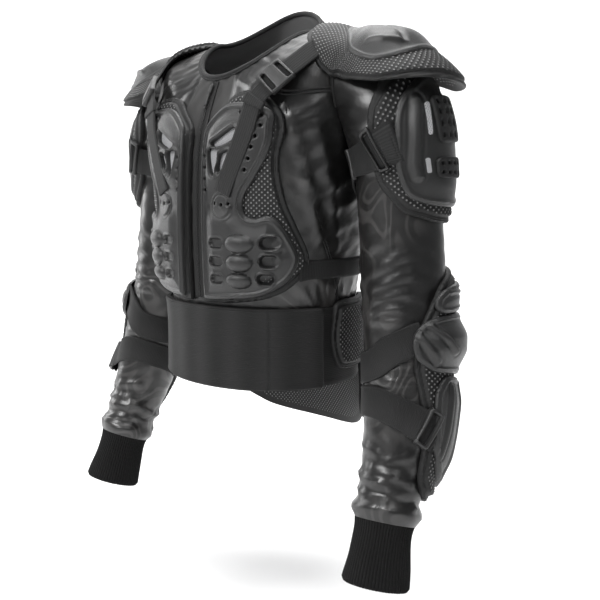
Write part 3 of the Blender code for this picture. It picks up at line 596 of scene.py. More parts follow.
def beside(u, v, path):
    """Metres from a line of points."""
    nearest = np.full(u.shape, 1e9)
    for start, end in zip(path[:-1], path[1:]):
        nearest = np.minimum(nearest, squared_away(u, v, start, end))
    return np.sqrt(nearest)


def within(outline):
    return lambda u, v: inside(u, v, outline)


def between_ends(start, end):
    return lambda u, v: np.minimum(v - start, end - v)


def box_inside(u, v, half_u, half_v, corner):
    """Metres inside a rectangle with round corners, about its middle."""
    past_u = np.maximum(np.abs(u) - half_u + corner, 0)
    past_v = np.maximum(np.abs(v) - half_v + corner, 0)
    return corner - np.hypot(past_u, past_v)


def outline_span(outline, spare=0.003):
    low, high = outline.min(axis=0) - spare, outline.max(axis=0) + spare
    return (low[0], high[0], low[1], high[1])


def segment(ends, unit_u):
    """The ends of a short line, from two turns in degrees and depths in millimetres."""
    turn_a, down_a, turn_b, down_b = ends
    return np.array([(turn_a * unit_u, down_a / 1000), (turn_b * unit_u, down_b / 1000)])


def both_halves(rows):
    """An outline that is closed by its own mirror image across the spine."""
    return [*rows, *((360 - turn, down) for turn, down in rows[-2:0:-1])]


def step_up(value, low, high):
    share = np.clip((value - low) / (high - low), 0, 1)
    return share * share * (3 - 2 * share)


def bead(distance, centre, half):
    return np.exp(-(((distance - centre) / half) ** 2))


def ridges(u, v, rows, unit_u):
    """Folds along short lines: from and to in degrees and millimetres, half width and height in mm."""
    rise = np.zeros(u.shape)
    for *ends, half, height in rows:
        rise += height / 1000 * bead(beside(u, v, segment(ends, unit_u)), 0, half / 1000)
    return rise


def studs(u, v, inward):
    """Small round dots that stand in a staggered lattice inside a pad's bound edge."""
    nearest = np.full(u.shape, 1.0)
    for shift in (0.0, 0.5):
        a = ((u / DOT_ACROSS + shift) % 1 - 0.5) * DOT_ACROSS
        b = ((v / DOT_ALONG + shift) % 1 - 0.5) * DOT_ALONG
        nearest = np.minimum(nearest, np.hypot(a, b))
    stud = 0.0009 * (1 - step_up(nearest, 0.0004, 0.0016))
    ditch = 0.0008 * bead(nearest, 0.0027, 0.0008)
    return (stud - ditch) * step_up(inward, 0.0085, 0.0105)


def dress(made, look, cad=(), padded=None, sheet=None):
    """Gives a piece its finish, hangs it on the root empty and hides the imported parts named in cad."""
    material, slot = LOOKS[look]
    made.data.materials.append(material)
    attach(made, "root")
    if cad:
        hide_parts(*cad)


def make(name, points, faces, plan, side, look, mark=None, **said):
    """One piece from arrays, mirrored to the right arm's side if asked."""
    points = points * (side, 1, 1)
    if side < 0:
        faces = faces[:, ::-1]
    mesh = bpy.data.meshes.new(name)
    mesh.from_pydata(points.tolist(), [], faces.tolist())
    kept = mesh.attributes.new("plan", "FLOAT_VECTOR", "POINT")
    kept.data.foreach_set("vector", np.asarray(plan, np.float32).ravel())
    if mark is not None:
        kept = mesh.attributes.new("mark", "FLOAT", "POINT")
        kept.data.foreach_set("value", np.asarray(mark, np.float32).ravel())
    mesh.shade_smooth()
    mesh.set_sharp_from_angle(angle=math.radians(48))
    made = bpy.data.objects.new(name, mesh)
    bpy.context.collection.objects.link(made)
    dress(made, look, **said)


def for_sides(name, sides, said, points, faces, plan, look, mark=None):
    """Makes a piece on each side; a said value that can be called is given the side's word."""
    for side, word in sides:
        label = f"{name}_{word}" if word else name
        facts = {key: value(word) if callable(value) else value for key, value in said.items()}
        make(label, points, faces, plan, side, look, mark, **facts)


def patch(
    name, look, place, span, cell, field, top, low, sides=SIDES, wrap=False, closed=False, **said
):
    """A piece cut from a plan: cells inside field, lifted by top, with walls down to low at its edges.

    span holds the first and last u and v, field gives metres in from the edge, and low is a lift.
    The values said are as for_sides takes them; mark is given u, v and metres in.
    """
    across = max(int(round((span[1] - span[0]) / cell)), 2)
    along = max(int(round((span[3] - span[2]) / cell)), 2)
    lines_u = np.linspace(span[0], span[1], across + 1)[: across if wrap else across + 1]
    u, v = np.meshgrid(lines_u, np.linspace(span[2], span[3], along + 1))
    inward = field(u, v)
    near = inward > -0.5 * cell
    right = np.roll(near, -1, axis=1)
    kept = near[:-1] & near[1:] & right[:-1] & right[1:]
    if not wrap:
        kept = kept[:, :-1]
    ids = np.arange(u.size).reshape(u.shape)
    beyond = np.roll(ids, -1, axis=1)
    width = kept.shape[1]
    corners = np.stack(
        [ids[:-1, :width], beyond[:-1, :width], beyond[1:, :width], ids[1:, :width]], -1
    )
    open_up = np.pad(kept, ((1, 1), (0, 0)))
    if wrap:
        open_side = np.concatenate([kept[:, -1:], kept, kept[:, :1]], 1)
    else:
        open_side = np.pad(kept, ((0, 0), (1, 1)))
    edges = []
    missing = (~open_up[:-2], ~open_side[:, 2:], ~open_up[2:], ~open_side[:, :-2])
    for k, gone in enumerate(missing):
        rim = kept & gone
        edges.append(corners[rim][:, [k, (k + 1) % 4]])
    edges = np.concatenate(edges)
    faces = corners[kept]
    snap = np.zeros(u.size, bool)
    snap[edges.ravel()] = True
    used = np.zeros(u.size, bool)
    used[faces.ravel()] = True
    flat_u, flat_v, inward = u.ravel().copy(), v.ravel().copy(), inward.ravel().copy()
    snap |= used & (inward < 0.05 * cell)
    chosen = np.flatnonzero(snap)
    step = 0.02 * cell
    for _ in range(2):
        a, b = flat_u[chosen], flat_v[chosen]
        here = field(a, b)
        slope_u, slope_v = (field(a + step, b) - here) / step, (field(a, b + step) - here) / step
        steep = np.maximum(slope_u**2 + slope_v**2, 0.3)
        flat_u[chosen] = a - np.clip(here, -cell, cell) * slope_u / steep
        flat_v[chosen] = b - np.clip(here, -cell, cell) * slope_v / steep
    if not wrap:
        flat_u = np.clip(flat_u, span[0], span[1])
    flat_v = np.clip(flat_v, span[2], span[3])
    inward[chosen] = 0
    renumber = np.full(u.size, -1)
    order = np.flatnonzero(used)
    renumber[order] = np.arange(len(order))
    flat_u, flat_v, inward = flat_u[order], flat_v[order], inward[order]
    faces, edges = renumber[faces], renumber[edges]
    rim, place_in_rim = np.unique(edges, return_inverse=True)
    rim_edges = place_in_rim.reshape(edges.shape) + len(order)
    lift = top(flat_u, flat_v, inward)
    base = low(flat_u, flat_v) if callable(low) else np.full(len(order), low)
    upper = place(flat_u, flat_v, lift)
    layers = [upper, place(flat_u[rim], flat_v[rim], base[rim])]
    walls = np.stack([edges[:, 1], edges[:, 0], rim_edges[:, 0], rim_edges[:, 1]], -1)
    every = [faces, walls]
    plan = np.stack([flat_u, flat_v, inward], -1)
    plans = [plan, plan[rim]]
    if closed:
        inner = np.setdiff1d(np.arange(len(order)), rim)
        spot = np.zeros(len(order), int)
        spot[rim] = np.arange(len(rim)) + len(order)
        spot[inner] = np.arange(len(inner)) + len(order) + len(rim)
        layers.append(place(flat_u[inner], flat_v[inner], base[inner]))
        every.append(spot[faces][:, ::-1])
        plans.append(plan[inner])
    points, plan, every = np.concatenate(layers), np.concatenate(plans), np.concatenate(every)
    corner = points[faces[len(faces) // 2]]
    out = place(flat_u, flat_v, lift + 0.003)[faces[len(faces) // 2][0]] - corner[0]
    if np.cross(corner[1] - corner[0], corner[3] - corner[0]) @ out < 0:
        every = every[:, ::-1]
    mark = said.pop("mark", None)
    if mark is not None:
        mark = mark(plan[:, 0], plan[:, 1], plan[:, 2])
    for_sides(name, sides, said, points, every, plan, look, mark)


def net(count, rounds, wrap):
    """Faces between rings of points, and from the last ring to the first if it wraps."""
    i, j = np.meshgrid(np.arange(count if wrap else count - 1), np.arange(rounds), indexing="ij")
    k, n = (j + 1) % rounds, (i + 1) % count
    corners = [i * rounds + j, i * rounds + k, n * rounds + k, n * rounds + j]
    return np.stack(corners, -1).reshape(-1, 4)


def tube(name, look, place, path, lift, radius, sides=SIDES, wrap=False, rounds=8, **said):
    """Piping along a line on a surface."""
    centre = place(path[:, 0], path[:, 1], lift)
    out = unit(place(path[:, 0], path[:, 1], lift + 0.002) - centre)
    if wrap:
        ahead = np.roll(centre, -1, axis=0) - np.roll(centre, 1, axis=0)
    else:
        ahead = np.gradient(centre, axis=0)
    beside_it = unit(np.cross(unit(ahead), out))
    turns = np.arange(rounds) * math.tau / rounds
    reach = np.full(len(path), float(radius))
    if not wrap:
        reach[0] = reach[-1] = radius * 0.25
    ring = np.cos(turns)[None, :, None] * out[:, None]
    ring = ring + np.sin(turns)[None, :, None] * beside_it[:, None]
    points = (centre[:, None] + ring * reach[:, None, None]).reshape(-1, 3)
    count = len(path)
    around, along = np.tile(turns * radius, count), np.repeat(lengths(centre), rounds)
    plan = np.stack([around, along, np.zeros(count * rounds)], -1)
    for_sides(name, sides, said, points, net(count, rounds, wrap), plan, look)


def rounded(inward, reach, edge=0.45):
    """Share of full height near a moulded edge."""
    share = np.clip(inward / reach, 0, 1)
    return edge + (1 - edge) * np.sqrt(1 - (1 - share) ** 2)


def level(lift):
    """The same lift all over a piece."""
    return lambda u, v, inward: lift + 0 * u


def moulded(lift, thick, reach, edge=0.45):
    """A lift that is rounded down towards the edge."""
    return lambda u, v, inward: lift + thick * rounded(inward, reach, edge)


def node(name):
    return lambda word: (f"{name}_{word}",)


def cloth(width, length, area=None, held="stretched", rests=("back_foam",)):
    said = {"flat": (width, length), "held": held, "rests_on": list(rests)}
    if area is not None:
        said["area"] = area
    return said


# Jacket of stretch cloth

ROW_LENGTH = 0.055
BODY_END = (HEM_ROW - 0.06) * ROW_LENGTH
SEAM_ROWS = ((55.3, 138), (60.4, 193), (67.5, 254), (77.4, 319), (84, 362), (88, 398))
SHOULDER_SEAM = ((50, 100), (53, 121), (69, 119), (90, 112))
BODY_FOLDS = (
    (57, 150, 64, 230, 7, 3.4), (64, 230, 72, 304, 7, 3.0), (68, 168, 77, 236, 8, 3.0),
    (78, 240, 83, 316, 8, 2.6),
    (60, 150, 74, 128, 6, 3.0), (58, 172, 76, 150, 5, 2.6), (62, 200, 80, 168, 5, 2.6),
    (64, 226, 84, 190, 6, 2.4), (70, 252, 90, 222, 6, 2.0), (76, 140, 82, 190, 5, 2.0),
    (36, 96, 46, 112, 6, 1.8), (26, 100, 40, 116, 5, 1.6), (44, 92, 50, 108, 4, 1.4),
    (66, 372, 72, 396, 3, 2.2), (71, 368, 76, 396, 3, 2.2), (77, 366, 80, 396, 3, 2.2),
    (83, 368, 85, 396, 3, 2.0), (90, 370, 91, 396, 3, 2.0), (98, 366, 97, 396, 3, 2.0),
    (74, 300, 92, 286, 6, 2.0), (80, 268, 98, 250, 6, 1.8), (96, 300, 112, 320, 6, 1.8),
)


def body_cloth_place(u, v, lift):
    turn, row, lift = np.broadcast_arrays(np.radians(u / BODY_DEGREE), v / ROW_LENGTH, lift)
    return torso_lifted(turn, row, lift)


def body_depth(u, v):
    """Degrees from the front and metres down at places of the body's cloth."""
    turn = u / BODY_DEGREE
    depth = BODY_LENGTH * torso_drop(np.radians(turn), v / ROW_LENGTH)
    return np.abs((turn + 180) % 360 - 180), depth


def body_field(u, v):
    points = body_cloth_place(u, v, 0.0)
    points = np.abs(points) * (1, 0, 0) + points * (0, 1, 1)
    return np.minimum(np.minimum(arm_distance(points) + 0.002, v), BODY_END - v)


def body_relief(u, v, inward):
    turn, depth = body_depth(u, v)
    flat_u = turn * BODY_DEGREE
    seam = beside(flat_u, depth, line(SEAM_ROWS, BODY_DEGREE, 0.01))
    rise = ridges(flat_u, depth, BODY_FOLDS, BODY_DEGREE)
    rise += 0.0010 * bead(seam, 0.0035, 0.0016) - 0.0012 * bead(seam, 0, 0.0012)
    wave = 0.0006 * np.sin(flat_u * 190 + 3 * np.sin(depth * 40)) * np.sin(depth * 150)
    return rise * step_up(inward, 0.0, 0.006) + wave


def body_matte(u, v, inward):
    """Plain cloth beside the zip and at the back of the neck."""
    turn, depth = body_depth(u, v)
    front = step_up(22 - turn, 0, 1.5) * step_up(0.17 - depth, 0, 0.002)
    back = step_up(turn - 120, 0, 4)
    return np.maximum(front, back)


def jacket():
    full = 360 * BODY_DEGREE
    span = (0.0, full, 0.0, BODY_END)
    patch(
        "jacket_body_cloth", "satin", body_cloth_place, span, 0.0040, body_field, body_relief, -CLOTH,
        sides=MIDDLE, wrap=True, cad=("jacket_body",), mark=body_matte, sheet=cloth(0.93, 0.47, 0.40),
    )
    patch(
        "jacket_lining", "lining", body_cloth_place, span, 0.0090, body_field, level(-CLOTH),
        -CLOTH - 0.0004, sides=MIDDLE, wrap=True, sheet=cloth(0.92, 0.46, 0.39),
    )
    around = np.linspace(0, full, 241)[:-1]
    neck = np.stack([around, 0 * around], -1)
    tube(
        "neck_binding", "binding", body_cloth_place, neck, -0.0008, 0.0036, sides=MIDDLE, wrap=True,
        rounds=10,
    )
    for name, down in (("neck_piping", 0.006), ("neck_stitch_fold", 0.0095)):
        path = np.stack([around, down + 0 * around], -1)
        tube(name, "binding", body_cloth_place, path, 0.0004, 0.0011, sides=MIDDLE, wrap=True)
    for shift, name in ((-0.0022, "shoulder_piping_upper"), (0.0022, "shoulder_piping_lower")):
        path = line(SHOULDER_SEAM, BODY_DEGREE) + (0, shift)
        tube(name, "binding", body_place, path, 0.0008, 0.0013)
    for shift, name in ((-0.0020, "front_seam_piping_inner"), (0.0020, "front_seam_piping_outer")):
        path = line(SEAM_ROWS, BODY_DEGREE) + (shift, 0)
        tube(name, "binding", body_place, path, 0.0008, 0.0010)


SLEEVE_RIDGES = (
    (60, 200, 110, 190, 5, 2.4), (66, 218, 118, 212, 5, 2.2), (80, 176, 118, 158, 6, 2.8),
    (70, 300, 116, 318, 5, 2.2), (50, 322, 96, 344, 5, 2.4), (44, 346, 98, 366, 5, 2.6),
    (52, 372, 104, 382, 5, 2.8), (60, 392, 112, 396, 5, 2.8), (58, 408, 116, 408, 4, 2.2),
    (130, 330, 176, 350, 6, 2.4), (136, 360, 186, 372, 6, 2.6), (140, 392, 190, 396, 5, 2.6),
    (46, 474, 96, 470, 4, 1.6), (40, 486, 110, 482, 4, 1.8),
    (20, 596, 96, 588, 3.4, 2.4), (-20, 604, 40, 610, 3.4, 2.4), (60, 604, 130, 598, 3.4, 2.6),
    (0, 620, 70, 628, 3.0, 2.6), (60, 620, 130, 614, 3.4, 2.6), (-40, 622, 10, 618, 3.0, 2.4),
    (130, 592, 190, 600, 3.6, 2.4), (150, 612, 220, 616, 3.6, 2.6), (200, 600, 260, 596, 3.6, 2.4),
    (220, 622, 290, 618, 3.6, 2.6), (270, 606, 330, 610, 3.6, 2.4),
    (30, 566, 70, 578, 3.4, 1.6), (90, 570, 140, 562, 4.0, 1.8),
)


def sleeve_starts():
    """The row at each turn where the sleeve's cloth leaves the body's, a little inside it."""
    rows, turns = np.linspace(0, 4.2, 240), np.radians(np.arange(0, 361, 4))
    net_turn, net_row = np.meshgrid(turns, rows)
    within = inside_torso(arm_skin(net_turn, net_row, 0 * net_row), -0.0015)
    return turns, rows[np.where(within, np.arange(len(rows))[:, None], 0).max(axis=0)]


START_TURNS, START_ROWS = sleeve_starts()
SLEEVE_LENGTH = 0.52


def sleeve_row(u, v):
    turn = np.radians((u / ARM_DEGREE) % 360)
    start = np.interp(turn, START_TURNS, START_ROWS)
    return turn, start + (SLEEVE_END - start) * np.clip(v / SLEEVE_LENGTH, 0, 1)


def sleeve_place(u, v, lift):
    u, v, lift = np.broadcast_arrays(u, v, lift)
    turn, row = sleeve_row(u, v)
    return arm_skin(turn, row, np.asarray(lift, float))


def sleeve_relief(u, v, inward):
    turn, row = sleeve_row(u, v)
    depth = ARM_DROP * arm("drop", row)
    turn = (np.degrees(turn) + 60) % 360 - 60
    flat_u = turn * ARM_DEGREE
    rise = ridges(flat_u, depth, SLEEVE_RIDGES, ARM_DEGREE)
    near_cuff = step_up(depth, 0.560, 0.60)
    crumple = np.sin(depth * 310 + 1.6 * np.sin(turn * 0.045)) * np.sin(turn * 0.06 + depth * 40)
    rise += 0.0011 * near_cuff * crumple
    seam = np.abs(np.abs((turn - 150 + 180) % 360 - 180)) * ARM_DEGREE
    rise += 0.0008 * bead(seam, 0.0028, 0.0014) - 0.0010 * bead(seam, 0, 0.0011)
    fade = step_up(inward, 0.0, 0.010)
    return rise * fade + 0.0003 * np.sin(depth * 260 + turn * 0.1)


def sleeves():
    full = 360 * ARM_DEGREE
    ends = (0.0, full, 0.0, SLEEVE_LENGTH)
    patch(
        "sleeve_cloth", "satin", sleeve_place, ends, 0.0034, between_ends(0.0, SLEEVE_LENGTH),
        sleeve_relief, -CLOTH, wrap=True, cad=node("sleeve"),
        sheet=cloth(0.36, 0.53, rests=("jacket_body_cloth",)), mark=level(0.0),
    )
    around = np.linspace(0, full, 121)[:-1]
    for name, down in (("armhole_piping_outer", 0.0035), ("armhole_piping_inner", 0.0070)):
        path = np.stack([around, down + 0 * around], -1)
        tube(name, "binding", sleeve_place, path, 0.0006, 0.0013, wrap=True)


def cuffs():
    """Ribbed cuffs whose ribs stand out of the knit, turned in at both ends."""
    ribs, rows, steps = 62, 21, 6
    around = np.arange(ribs * steps) / (ribs * steps) * math.tau
    turn, row = np.meshgrid(around, np.linspace(SLEEVE_END - 0.03, CUFF_END, rows))
    share = np.linspace(0, 1, rows)[:, None]
    rib = 0.0011 * np.abs(np.cos(turn * ribs / 2)) ** 0.8
    ends = 0.0024 * (step_up(share, 0, 0.07) * step_up(1 - share, 0, 0.05) - 1)
    wave = 0.0008 * np.sin(turn * 3 + share * 5) * np.sin(share * math.pi)
    outer = arm_skin(turn, row, rib + ends + wave - 0.0004)
    inner = arm_skin(turn, row, rib * 0.5 - RIB_KNIT)[::-1]
    points = np.concatenate([outer, inner])
    count, width = points.shape[:2]
    faces = net(count, width, True)
    plan = np.stack([turn * 0.04, row * 0.07, 0 * row + 0.01], -1)
    plan = np.concatenate([plan, plan[::-1]]).reshape(-1, 3)
    for side, word in SIDES:
        make(
            f"cuff_knit_{word}", points.reshape(-1, 3), faces[:, ::-1], plan, side, "rib",
            cad=(f"cuff_{word}",), sheet=cloth(0.225, 0.074, rests=(f"sleeve_cloth_{word}",)),
        )


# Zip

ZIP_ENDS = (0.100, 0.385)
TOOTH = (0.0030, 0.0012, 0.0014)


def strip_field(width, start, end):
    return lambda u, v: np.minimum(width / 2 - np.abs(u), np.minimum(v - start, end - v))


def zip_front():
    tape = 0.026
    patch(
        "zip_tape", "binding", body_place, (-tape / 2, tape / 2, *ZIP_ENDS), 0.0022,
        strip_field(tape, *ZIP_ENDS),
        lambda u, v, inward: 0.0016 + 0.0009 * bead(np.abs(u), 0.0045, 0.001), 0.0004, sides=MIDDLE,
        cad=("front_zip",), sheet=cloth(tape, 0.285, held="laid", rests=("jacket_body_cloth",)),
    )
    teeth = np.arange(ZIP_ENDS[0] + 0.004, ZIP_ENDS[1], 0.0024)
    sign = np.where(np.arange(len(teeth)) % 2, 1.0, -1.0)
    points, faces, plan = [], [], []
    box = ((0, 3, 2, 1), (4, 5, 6, 7), (0, 1, 5, 4), (1, 2, 6, 5), (2, 3, 7, 6), (3, 0, 4, 7))
    for k, (down, way) in enumerate(zip(teeth, sign)):
        for lift in (0.0014, 0.0014 + TOOTH[2]):
            for a, b in ((-1, -1), (1, -1), (1, 1), (-1, 1)):
                points.append(body_place(way * 0.0010 + a * TOOTH[0] / 2, down + b * TOOTH[1] / 2, lift))
                plan.append((a * 0.001, down, 0.001))
        faces += [tuple(8 * k + n for n in face)[::-1] for face in box]
    make("zip_teeth", np.array(points), np.array(faces), plan, 1, "zip")
    slide = 0.111
    patch(
        "zip_slider_body", "zip", body_place, (-0.0055, 0.0055, slide - 0.007, slide + 0.007), 0.0008,
        lambda u, v: 0.0052 - np.hypot(u, np.maximum(np.abs(v - slide) - 0.0016, 0)),
        moulded(0.0046, 0.0016, 0.004, 0.1), 0.0020, sides=MIDDLE, cad=("zip_slider",),
    )
    pull = 0.128
    patch(
        "zip_pull", "zip", body_place, (-0.004, 0.004, pull - 0.015, pull + 0.015), 0.0007,
        lambda u, v: np.minimum(
            0.0034 - np.hypot(u, np.maximum(np.abs(v - pull) - 0.007, 0)),
            np.hypot(u, v - pull - 0.006) - 0.0014,
        ),
        moulded(0.0052, 0.0012, 0.0012, 0.4), 0.0042, sides=MIDDLE,
    )


# Chest guards

CHEST_FOAM_OUTLINE = (
    (10, 156), (17, 143), (27, 124), (36, 118), (45, 122), (50, 133), (54, 150), (54.6, 170), (52.6, 192),
    (52, 214), (53.5, 240), (56, 262), (61, 290), (66, 318), (67, 336), (64, 352), (56, 370), (44, 382),
    (26, 388), (8, 389), (6.6, 384), (6.6, 330), (6.6, 260), (6.6, 200), (7, 168),
)
CHEST_SHELL_OUTLINE = (
    (11.5, 165), (18, 150), (27, 138), (38, 136), (47, 141), (51, 150), (50.5, 164), (49.6, 184),
    (46.6, 204), (41.4, 228), (36.6, 248), (35.4, 262), (37.5, 274), (42, 276.5), (47, 272.5), (51.5, 278),
    (56, 294), (61, 322), (60.5, 338), (57, 354), (51, 366), (42, 376), (26, 381), (11, 383), (9.4, 376),
    (9.2, 330), (9.0, 290), (9.0, 240), (9.4, 190),
)
VENT_OUTLINES = (
    ((17.6, 184), (23, 177), (31.5, 166), (33.2, 170), (32, 179), (25, 187), (20, 189)),
    ((15.4, 193), (19, 192), (22.4, 193), (21.6, 208), (19.2, 224), (17.6, 222), (16, 208)),
    ((24.6, 197), (28.8, 194), (29.2, 200), (26, 212), (23.0, 220), (22.2, 214), (23, 204)),
)
GRILLE_OUTLINE = (
    (14.5, 186), (22, 170), (33, 160), (36, 172), (31, 200), (24, 226), (17, 228), (14, 206),
)
VENT_HOLES = (
    (12.6, 200), (12.6, 214), (12.6, 228), (12.6, 242), (46.0, 151), (45.4, 163), (43.0, 176), (41.0, 189),
    (39.4, 203), (37.4, 217), (36.0, 148), (20.0, 259), (24.2, 260.5), (28.4, 259),
)
BULGES = ((34.2, 308.5, 20.5, 12.2), (34.0, 332.5, 19.5, 11.8), (33.4, 355.5, 18.5, 10.4))
SIDE_SLOTS = ((20.6, 309, 13.0, 6.2), (20.4, 332, 13.0, 6.0), (20.4, 355, 11.5, 5.6))
CURVED_SLOTS = ((48.8, 307, 13.0, 8.2), (48.4, 330, 12.5, 8.0), (46.6, 352.5, 11.0, 6.6))


def oval_inside(u, v, rows, degree):
    """Metres inside the nearest of some ovals with straight sides."""
    best = np.full(u.shape, -1.0)
    for turn, down, half_wide, half_high in rows:
        reach = np.maximum(np.abs(u - turn * degree) - (half_wide - half_high) / 1000, 0)
        best = np.maximum(best, half_high / 1000 - np.hypot(reach, v - down / 1000))
    return best


def foam_top(base):
    """Lifts of a pad with a bound edge of two beads."""
    def top(u, v, inward):
        body = 0.42 + 0.58 * step_up(inward, 0.0058, 0.0098)
        beads = 0.0012 * (bead(inward, 0.0016, 0.0011) + bead(inward, 0.0046, 0.0011))
        rise = base(u, v) if callable(base) else base
        lift = rise + FOAM * body * rounded(inward, 0.0012, 0.7) + beads
        return lift + studs(u, v, inward)
    return top


def chest_guards():
    foam = loop(CHEST_FOAM_OUTLINE, BODY_DEGREE)
    patch(
        "chest_pad", "foam", body_place, outline_span(foam), 0.0015, within(foam), foam_top(SEAT),
        SEAT - 0.001, cad=node("chest_foam"), padded=0.9,
    )
    shell = loop(CHEST_SHELL_OUTLINE, BODY_DEGREE)
    vents = [loop(rows, BODY_DEGREE) for rows in VENT_OUTLINES]
    low = SEAT + FOAM + 0.0018

    def field(u, v):
        value = inside(u, v, shell)
        for vent in vents:
            value = np.minimum(value, -inside(u, v, vent))
        for turn, down in VENT_HOLES:
            value = np.minimum(value, np.hypot(u - turn * BODY_DEGREE, v - down / 1000) - 0.0021)
        return value

    def top(u, v, inward):
        edge = inside(u, v, shell)
        lift = low + GUARD_SHELL * rounded(inward, 0.0022)
        lift += 0.0022 * bead(edge, 0.0052, 0.0017)
        for vent in vents:
            lift += 0.0014 * bead(-inside(u, v, vent), 0.0028, 0.0014)
        lift += 0.0042 * step_up(edge, 0.006, 0.030) * step_up(v, 0.262, 0.285)
        lift += 0.0028 * step_up(edge, 0.006, 0.022) * step_up(0.250 - v, 0.0, 0.03)
        for turn, down, half_wide, half_high in BULGES:
            a, b = (u - turn * BODY_DEGREE) / half_wide * 1000, (v - down / 1000) / half_high * 1000
            lift += 0.0078 * np.sqrt(np.clip(1 - a * a - b * b, 0, 1))
        slots = oval_inside(u, v, SIDE_SLOTS, BODY_DEGREE)
        lift += 0.0008 * bead(slots, -0.0012, 0.0012) - 0.0034 * step_up(slots, -0.0002, 0.0016)
        slots = oval_inside(u, v, CURVED_SLOTS, BODY_DEGREE)
        fade = 1 - 0.75 * step_up(u, 48.5 * BODY_DEGREE, 52.5 * BODY_DEGREE)
        hollow = 0.0066 * step_up(slots, -0.0002, 0.0022) * fade
        lift += 0.0024 * bead(slots, -0.0012, 0.0013) * fade - hollow
        disc = np.hypot(u - 24.2 * BODY_DEGREE, v - 0.2625)
        lift += 0.0024 * step_up(0.0155 - disc, 0, 0.0022) + 0.0008 * bead(disc, 0.0180, 0.0010)
        lift -= 0.0016 * bead(np.hypot(u - 54 * BODY_DEGREE, v - 0.318), 0.0, 0.0030)
        return lift

    patch(
        "chest_plate", "shell", body_place, outline_span(shell), 0.0012, field, top,
        SEAT + FOAM - 0.0008, cad=node("chest_shell"),
    )
    grille = loop(GRILLE_OUTLINE, BODY_DEGREE)
    patch(
        "chest_vent_mesh", "mesh", body_place, outline_span(grille, 0), 0.0024, within(grille),
        level(SEAT + FOAM + 0.0012), SEAT + FOAM - 0.001,
        sheet=lambda word: cloth(0.062, 0.062, 0.0026, "laid", (f"chest_pad_{word}",)),
    )


# Straps


STRAP_CELL = 0.0020


def band(name, look, place, degree, rows, width, thick, edge=0.0, flat=False, **said):
    """A strap along a line of turns, depths in mm and lifts in mm, on a surface or flat across."""
    knots = np.array(rows, float) * (degree, 0.001, 0.001)
    dense = curve_through(knots, 60)
    middle = place(dense[:, 0], dense[:, 1], dense[:, 2])
    run = lengths(middle)
    ahead = unit(np.gradient(dense[:, :2], axis=0))
    out = unit(place(dense[:, 0], dense[:, 1], dense[:, 2] + 0.005) - middle)
    across = unit(np.cross(unit(np.gradient(middle, axis=0)), out))

    def read(values, v):
        return np.stack([np.interp(v, run, values[:, k]) for k in range(values.shape[1])], -1)

    def strap_place(u, v, lift):
        if flat:
            u, v, lift = (value[..., None] for value in np.broadcast_arrays(u, v, lift))
            return read(middle, v[..., 0]) + read(across, v[..., 0]) * u + read(out, v[..., 0]) * lift
        along = [np.interp(v, run, dense[:, k]) for k in (0, 1, 2)]
        go_u, go_v = np.interp(v, run, ahead[:, 0]), np.interp(v, run, ahead[:, 1])
        return place(along[0] - u * go_v, along[1] + u * go_u, along[2] + lift)

    def top(u, v, inward):
        ribs = 0.00006 * np.abs(np.sin(u * math.pi / 0.0031))
        return thick * rounded(inward, 0.0014, 0.5) + ribs + edge * bead(inward, 0.0016, 0.0012)

    length = float(run[-1])
    under = "jacket_body_cloth" if place is body_place else "sleeve_cloth_{}"
    said["sheet"] = lambda word: cloth(width, length, rests=(under.format(word),))
    patch(
        name, look, strap_place, (-width / 2, width / 2, 0.0, length), STRAP_CELL,
        strip_field(width, 0.0, length), top, -0.0006, **said,
    )
    order = np.argsort(dense[:, 0])
    return strap_place, lambda turn: float(np.interp(turn * degree, dense[order, 0], run[order]))


def slide(name, strap_place, centre, size, windows, opening, lift, cad):
    """A moulded frame on a strap, with windows at shares of its half length."""
    half_wide, half_long, thick = size[0] / 2, size[1] / 2, size[2]

    def field(u, v):
        away = v - centre
        value = box_inside(u, away, half_wide, half_long, 0.0030)
        for share in windows:
            window = box_inside(u, away - share * half_long, half_wide - 0.0045, opening, 0.0015)
            value = np.minimum(value, -window)
        return value

    span = (-half_wide, half_wide, centre - half_long, centre + half_long)
    patch(
        name, "plastic", strap_place, span, 0.0008, field, moulded(lift, thick, 0.0018, 0.35),
        lift - 0.0012, cad=cad,
    )


CHEST_STRAP_ROWS = (
    (92, 36, 2.6), (80, 52, 3.2), (70, 68, 4.4), (62, 86, 7.6), (53, 110, 15.5), (44, 136, 19.0),
    (39, 168, 18.6), (33.5, 200, 17.2), (25, 246, 16.0),
)
ARM_STRAP_ROWS = (
    (49, 190, 14.4), (60, 192, 14.0), (72, 195, 12.8), (83, 198, 8.0), (92, 199, 3.6), (104, 200, 2.6),
    (132, 203, 2.4), (160, 218, 2.4), (190, 238, 2.4), (225, 243, 2.4), (255, 226, 2.4), (270, 217, 3.0),
)
UPPER_STRAP_ROWS = (
    (32, 428, 10.4), (42, 432, 5.0), (54, 438, 2.4), (75, 447, 2.4), (105, 464, 2.4), (150, 466, 2.4),
    (190, 456, 2.4), (222, 438, 2.4), (232, 434, 6.0),
)
LOWER_STRAP_ROWS = (
    (9, 541, 12.6), (18, 537, 12.4), (27, 533, 11.6), (37, 529, 6.0), (50, 524, 2.2), (70, 518, 2.0),
    (105, 509, 2.0), (150, 508, 2.0), (195, 513, 2.0), (234, 521, 2.6),
)
SIDE_STRAP_ROWS = (
    (62, 345, 8.6), (68, 344, 3.0), (74, 344, 1.8), (96, 344, 1.8), (118, 344, 1.8), (134, 344, 2.6),
)


